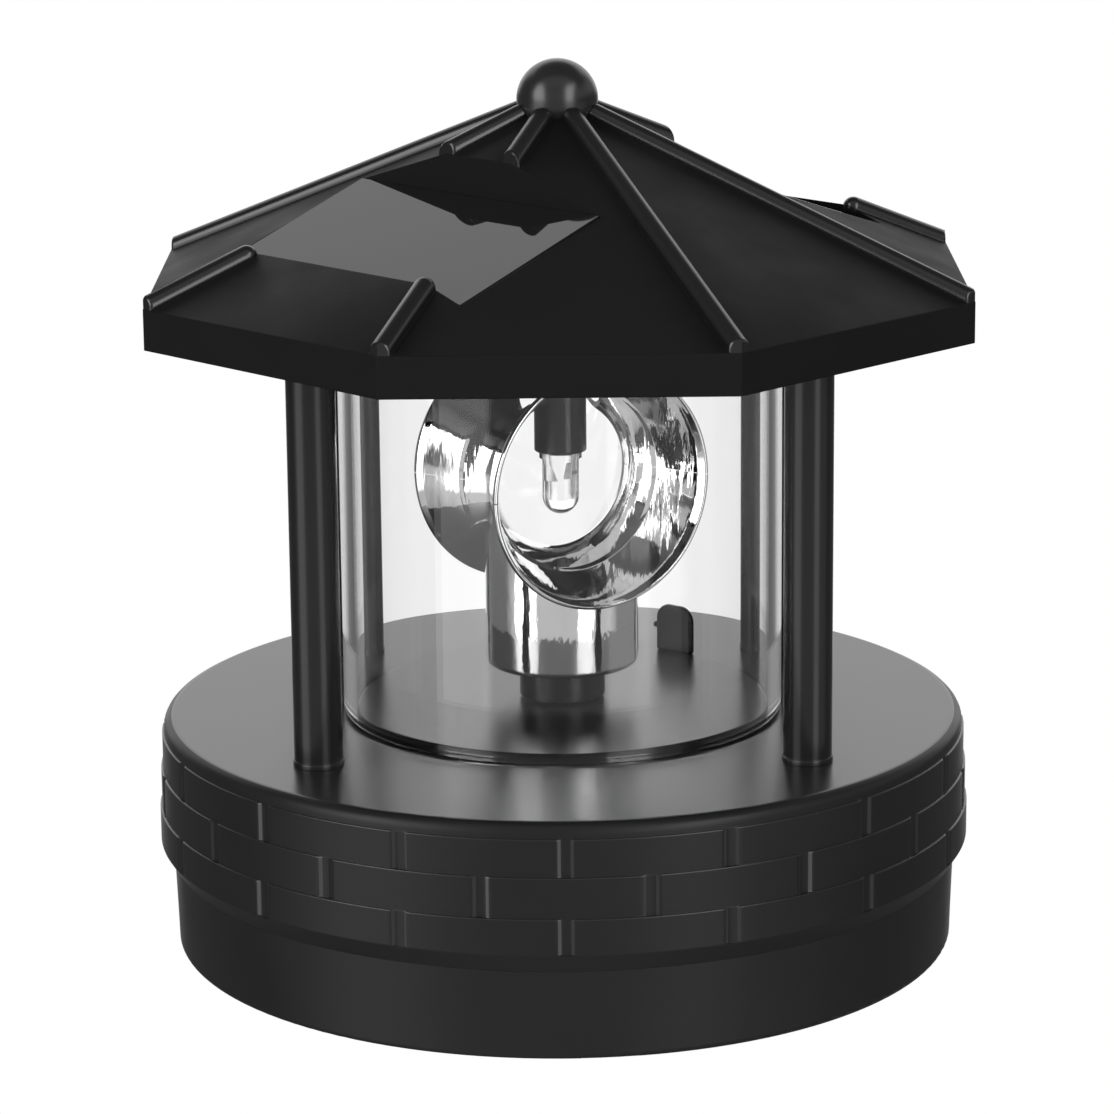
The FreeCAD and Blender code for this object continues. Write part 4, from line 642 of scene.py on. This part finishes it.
# %% [markdown]
# ## Roof
# The roof is a thin eight-sided shell.  An eight-sided cone with a Solidify modifier could do,
# but spinning one outline in eight steps sets the wall, the eaves and the level underside of
# the crown as they are.  Half a side's angle more then brings a flat side to the front.

# %% Roof shell
SIDES = 8
SIDE_ANGLE = 360 / SIDES
CORNER, EAVE, FASCIA, ROOF_WALL, CROWN_Z = 58.24, 86.4, 5.4, 2.0, 106.0
PITCH = math.radians(24.05)
FLAT = math.cos(math.pi / SIDES)
APEX = EAVE + FASCIA + CORNER * FLAT * math.tan(PITCH)
INSIDE_CORNER = (CORNER * FLAT - ROOF_WALL) / FLAT
inside_apex = APEX - ROOF_WALL / math.cos(PITCH)
knee = inside_apex - INSIDE_CORNER * FLAT * math.tan(PITCH)
crown = (inside_apex - CROWN_Z) / math.tan(PITCH) / FLAT


def eight_sided(points):
    """A bmesh of an outline spun in eight steps, a flat side to the front."""
    bm = turned(points, steps=SIDES, closed=False)
    half_side = Matrix.Rotation(math.pi / SIDES, 3, "Z")
    bmesh.ops.rotate(bm, verts=bm.verts[:], cent=(0, 0, 0), matrix=half_side)
    return bm


roof = eight_sided([
    (0, APEX), (CORNER, EAVE + FASCIA), (CORNER, EAVE), (INSIDE_CORNER, EAVE),
    (INSIDE_CORNER, knee), (crown, CROWN_Z), (0, CROWN_Z)])
print("roof apex", round(APEX, 2), "mm, flat to flat", round(2 * CORNER * FLAT, 2), "mm")

# %% [markdown]
# Two solar panels lie in pockets that are less steep than the roof, so a pocket is deepest at
# its upper edge.  Below each pocket is a tray, which carries the panel.  Both are the same
# prism with different margins: the tray is limited to the roof's outside and joined on, and
# the pocket is then cut from it.  These edges are straight and few, which suits a boolean.

# %% Pockets and trays
PANEL_IN, PANEL_OUT, PANEL_HALF = 14.8, 39.8, 22.5
PANEL_PITCH, PANEL_LOW, PANEL_THICK = math.radians(18.06), 96.15, 1.8
TRAY, TRAY_TALL, POCKET_TALL = 1.6, 12, 20
FRONT_PANEL, REAR_PANEL = 225, 45


def panel_prism(heading, grow, below, above):
    """A closed prism over the panel's plan, its floor and top parallel to the panel's face."""
    bm = bmesh.new()
    size = (PANEL_OUT - PANEL_IN + 2 * grow, 2 * (PANEL_HALF + grow), 1)
    shell_box(bm, size, ((PANEL_IN + PANEL_OUT) / 2, 0, 0))
    for v in bm.verts:
        face_z = PANEL_LOW + (PANEL_OUT - v.co.x / MM) * math.tan(PANEL_PITCH)
        offset = above if v.co.z > 0 else -below / math.cos(PANEL_PITCH)
        v.co.z = (face_z + offset) * MM
    turn = Matrix.Rotation(math.radians(heading), 3, "Z")
    bmesh.ops.rotate(bm, verts=bm.verts[:], cent=(0, 0, 0), matrix=turn)
    return bm


limit = eight_sided([(0, APEX), (CORNER, EAVE + FASCIA), (CORNER, EAVE), (0, EAVE)])
for heading in (FRONT_PANEL, REAR_PANEL):
    tray = panel_prism(heading, TRAY, PANEL_THICK + TRAY, TRAY_TALL)
    roof = carve(roof, carve(tray, limit.copy(), "INTERSECT"), "UNION")
    roof = carve(roof, panel_prism(heading, 0.0, PANEL_THICK, POCKET_TALL))
limit.free()
print("roof volume cm3", round(roof.calc_volume() * 1e6, 2))

# %% [markdown]
# Round ribs lie on the eight ridges.  A rib that meets a pocket stops at its upper edge and
# starts again below it with a round end, and at the eaves all stop just short of the fascia's
# face.  A curve with a round bevel could draw them, but not their ends, so each rib is a turned
# bar, laid on its ridge and cut off by upright planes.

# %% One rib
RIB, RIB_START, RIB_RESTART, PAST_EAVE, PAST_EDGE = 1.45, 4.0, 42.6, 4, 20.0
CUT_GAP, RIB_ROLL, CUT_CORNER = 0.06, 0.35, 1.0
slope = math.atan2(APEX - EAVE - FASCIA, CORNER)


def rib(heading, start, end):
    """A bar with round ends lying on the ridge from plan radius start out to end."""
    length = (end - start) / math.cos(slope)
    quarter = [k * math.pi / 12 for k in range(7)]
    profile = [(RIB * math.sin(a), -RIB * math.cos(a) + RIB) for a in quarter]
    profile += [(RIB * math.cos(a), length - RIB + RIB * math.sin(a)) for a in quarter]
    bm = turned(profile, steps=32, closed=False)
    lay = Matrix.Rotation(math.pi / 2 + slope, 4, "Y")
    lift = Matrix.Translation((start * MM, 0, (APEX - start * math.tan(slope)) * MM))
    turn = Matrix.Rotation(math.radians(heading), 4, "Z")
    bmesh.ops.transform(bm, matrix=turn @ lift @ lay, verts=bm.verts[:])
    return bm


def clip(bm, heading, reach):
    """Cuts bm off beyond an upright plane facing heading, reach from the centre."""
    normal = Vector((math.cos(math.radians(heading)), math.sin(math.radians(heading)), 0))
    bmesh.ops.bisect_plane(
        bm, geom=bm.verts[:] + bm.edges[:] + bm.faces[:], plane_co=normal * reach * MM,
        plane_no=normal, clear_outer=True)
    rims = [e for e in bm.edges if e.is_boundary]
    if rims:
        bmesh.ops.holes_fill(bm, edges=rims, sides=0)


def finish_rib(bm):
    """Rounds the cut ends, marks the bar as the smoother plastic and joins it to the roof."""
    soften(bm, [e for e in bm.edges if e.calc_face_angle(0) > CUT_CORNER], RIB_ROLL, 3)
    for face in bm.faces:
        face.material_index = 1
    add(roof, bm)


# %% All the ribs
for n in range(SIDES):
    heading = SIDE_ANGLE * (n + 0.5)
    beside = [panel for panel in (FRONT_PANEL, REAR_PANEL)
              if abs(heading - panel) == SIDE_ANGLE / 2]
    outer = rib(heading, RIB_RESTART if beside else RIB_START, CORNER + PAST_EAVE)
    for side in (-1, 1):
        clip(outer, heading + side * SIDE_ANGLE / 2, CORNER * FLAT - CUT_GAP)
    finish_rib(outer)
    for panel in beside:
        inner = rib(heading, RIB_START, PAST_EDGE)
        clip(inner, panel, PANEL_IN - CUT_GAP)
        finish_rib(inner)
piece("roof_shell_fine", roof, "frame", ["roof_shell"], roof_black, rib_black, sharp=25)

# %% [markdown]
# ## Finial
# The ball's stem is pressed into the roof's crown.  A sphere on a cylinder could do, but one
# outline, first the stem and then most of a circle, leaves no faces inside.

# %% Finial
BALL, BALL_Z, STEM, NECK_Z = 5.45, 115.4, 2.0, 110.5
BALL_START, BALL_STEPS = -1.19, 40
arc = []
for k in range(BALL_STEPS + 1):
    tilt = BALL_START + k * (math.pi / 2 - BALL_START) / BALL_STEPS
    arc.append((BALL * math.cos(tilt), BALL_Z + BALL * math.sin(tilt)))
ball = turned([(STEM, CROWN_Z), (STEM, NECK_Z)] + arc + [(0, CROWN_Z)], steps=96)
piece("finial_ball_fine", ball, "frame", ["finial_ball"], black)

# %% [markdown]
# ## Solar panels
# Each panel is a thin slab with a glossy face.  It could start from a box, but the prism that
# cut its pocket, made a little smaller, fits there without any measuring.

# %% Solar panels
PANEL_GAP, PANEL_LIFT, PANEL_SINK, PANEL_ROLL = 0.15, 0.02, 0.01, 0.12
for name, heading in (("solar_panel_front", FRONT_PANEL), ("solar_panel_rear", REAR_PANEL)):
    slab = panel_prism(heading, -PANEL_GAP, PANEL_THICK - PANEL_LIFT, -PANEL_SINK)
    soften(slab, slab.edges[:], PANEL_ROLL, 2)
    piece(name + "_fine", slab, "frame", [name], solar)

# %% [markdown]
# ## Floor
# The lamp stands on a plain white floor.  A lit plane could be that floor, but the light from
# below already comes from the world's pale table.  So only the camera sees this disc, and only
# from above, and every other ray passes through it.

# %% Floor
FLOOR_RADIUS, FLOOR_Z = 0.6, -0.1
ground = bmesh.new()
bmesh.ops.create_circle(ground, cap_ends=True, segments=96, radius=FLOOR_RADIUS)
bmesh.ops.translate(ground, verts=ground.verts[:], vec=(0, 0, FLOOR_Z * MM))
ground.normal_update()
if ground.faces[:][0].normal.z < 0:
    bmesh.ops.reverse_faces(ground, faces=ground.faces[:])
floor_disc = as_object("floor", ground)

white = bpy.data.materials.new("white_floor")
white.use_nodes = True
nodes, links = white.node_tree.nodes, white.node_tree.links
glow = nodes.new("ShaderNodeEmission")
passing = nodes.new("ShaderNodeBsdfTransparent")
ray, surface = nodes.new("ShaderNodeLightPath"), nodes.new("ShaderNodeNewGeometry")
from_above = nodes.new("ShaderNodeMath")
from_above.operation, from_above.use_clamp = "SUBTRACT", True
links.new(ray.outputs["Is Camera Ray"], from_above.inputs[0])
links.new(surface.outputs["Backfacing"], from_above.inputs[1])
choice = nodes.new("ShaderNodeMixShader")
links.new(from_above.outputs["Value"], choice.inputs[0])
links.new(passing.outputs["BSDF"], choice.inputs[1])
links.new(glow.outputs["Emission"], choice.inputs[2])
links.new(choice.outputs["Shader"], nodes["Material Output"].inputs["Surface"])
floor_disc.data.materials.append(white)
print("floor radius", FLOOR_RADIUS, "m")

# %% [markdown]
# ## Camera
# The camera was fitted to the edges in the picture: a long lens that looks down by 14 degrees
# and is turned and tilted by less than one.  A helper object to aim at could steer it, but the
# fitted angles already say where it looks.  The lens follows from the fitted focal length.

# %% Camera
REACH, ELEVATION, YAW, ROLL, AIM_Z = 0.59143, 0.249, -0.001, -0.009, 0.05266
FOCAL, PICTURE, SENSOR = 4336.05, 1114, 36.0
camera = bpy.data.objects.new("camera", bpy.data.cameras.new("camera"))
bpy.context.scene.collection.objects.link(camera)
right, ahead = Vector((1, 0, 0)), Vector((0, math.cos(ELEVATION), -math.sin(ELEVATION)))
up = right.cross(ahead)
look = ahead * math.cos(YAW) + right * math.sin(YAW)
side = right * math.cos(YAW) - ahead * math.sin(YAW)
tilt_side = side * math.cos(ROLL) + up * math.sin(ROLL)
tilt_up = up * math.cos(ROLL) - side * math.sin(ROLL)
stance = Matrix((tilt_side, tilt_up, -look)).transposed().to_4x4()
stance.translation = Vector((
    0, -REACH * math.cos(ELEVATION), AIM_Z + REACH * math.sin(ELEVATION)))
camera.matrix_world = stance
camera.data.sensor_width = SENSOR
camera.data.lens = FOCAL / PICTURE * SENSOR
camera.data.clip_start, camera.data.clip_end = 0.05, 20
bpy.context.scene.camera = camera
bpy.context.scene.view_settings.view_transform = "Standard"
print("lens", round(camera.data.lens, 2), "mm")

# %% [markdown]
# ## Light
# Gloss and chrome show the room they stand in.  Area lamps could light this one, but patches in
# the world are easier to match to the highlights, so there are no lamps.  The world's colour is
# a function of direction alone: X is right, Y is away from the camera and Z is up.  `ramp` is
# a smooth step along one of them.

# %% World and its tools
world = bpy.data.worlds.new("studio")
bpy.context.scene.world = world
world.use_nodes = True
nodes, links = world.node_tree.nodes, world.node_tree.links
background = nodes["Background"]
coords = nodes.new("ShaderNodeTexCoord")
parts = nodes.new("ShaderNodeSeparateXYZ")
links.new(coords.outputs["Generated"], parts.inputs["Vector"])


def ramp(source, low, high, low_value, high_value):
    """A smooth step of source from low to high."""
    node = nodes.new("ShaderNodeMapRange")
    node.interpolation_type = "SMOOTHSTEP"
    for key, value in (("From Min", low), ("From Max", high), ("To Min", low_value),
                       ("To Max", high_value)):
        node.inputs[key].default_value = value
    links.new(source, node.inputs["Value"])
    return node.outputs["Result"]


def combine(operation, *values):
    """Chains numbers or sockets through math nodes, two at a time."""
    result = values[0]
    for value in values[1:]:
        node = nodes.new("ShaderNodeMath")
        node.operation = operation
        for socket, given in zip(node.inputs, (result, value)):
            if isinstance(given, (int, float)):
                socket.default_value = given
            else:
                links.new(given, socket)
        result = node.outputs["Value"]
    return result


# %% [markdown]
# The studio has a white backdrop, a pale table, a wall and a soft overhead light in front, a
# dim window at the right and two tall soft boxes.  Their places were read from the highlights
# in the photograph, since each spot on a post or a flat face mirrors one known direction.  Each
# patch is a product of steps, written as (direction, low, high, value below, value above), and
# a direction takes the brightest of them.  Outside all of them the room is dim.

# %% Patches of light
x, y, z = parts.outputs["X"], parts.outputs["Y"], parts.outputs["Z"]
off_axis = combine("ABSOLUTE", x, 0.0)
soft_box = [(y, -0.3, -0.2, 5.2, 0), (z, 0.55, 0.8, 1, 0), (z, -0.1, 0.15, 0.4, 1),
            (z, -0.5, -0.35, 0, 1)]
PATCHES = {
    "backdrop": [(y, 0.05, 0.45, 0, 1.2), (z, 0.615, 0.66, 1, 0), (z, -0.06, 0.02, 0, 1),
                 (off_axis, 0.5, 0.8, 1, 0)],
    "table behind": [(y, 0.84, 0.95, 0, 0.95), (z, 0.0, 0.06, 1, 0)],
    "table all round": [(y, -0.3, 0.1, 0.55, 0.12), (z, -0.15, -0.05, 1, 0),
                        (z, -0.9, -0.5, 1.2, 1)],
    "wall in front": [(y, -0.65, -0.35, 0.5, 0), (z, 0.45, 0.75, 1, 0), (z, -0.15, -0.05, 0, 1)],
    "above in front": [(y, -0.35, -0.05, 0.6, 0), (z, 0.5, 0.7, 0, 1), (z, 0.93, 1.0, 1, 0.3)],
    "window": [(x, 0.6, 0.8, 0, 0.6), (z, 0.05, 0.15, 0, 1), (z, 0.4, 0.6, 1, 0)],
    "left soft box": soft_box + [(x, -0.96, -0.91, 0, 1), (x, -0.62, -0.55, 1, 0)],
    "right soft box": soft_box + [(x, 0.36, 0.42, 0, 1), (x, 0.68, 0.75, 1, 0)],
}
DIM = 0.13
room = combine("MAXIMUM", *[
    combine("MULTIPLY", *[ramp(*step) for step in steps]) for steps in PATCHES.values()], DIM)
print("patches of light", ", ".join(PATCHES))

# %% [markdown]
# The picture's background is plain white.  A white wall could be lit to that, but it would add
# light to the lamp, so only rays straight from the camera see white here.

# %% White background
path = nodes.new("ShaderNodeLightPath")
seen = combine("MAXIMUM", room, path.outputs["Is Camera Ray"])
level = nodes.new("ShaderNodeCombineColor")
for socket in level.inputs:
    links.new(seen, socket)
links.new(level.outputs["Color"], background.inputs["Color"])
background.inputs["Strength"].default_value = 1.0
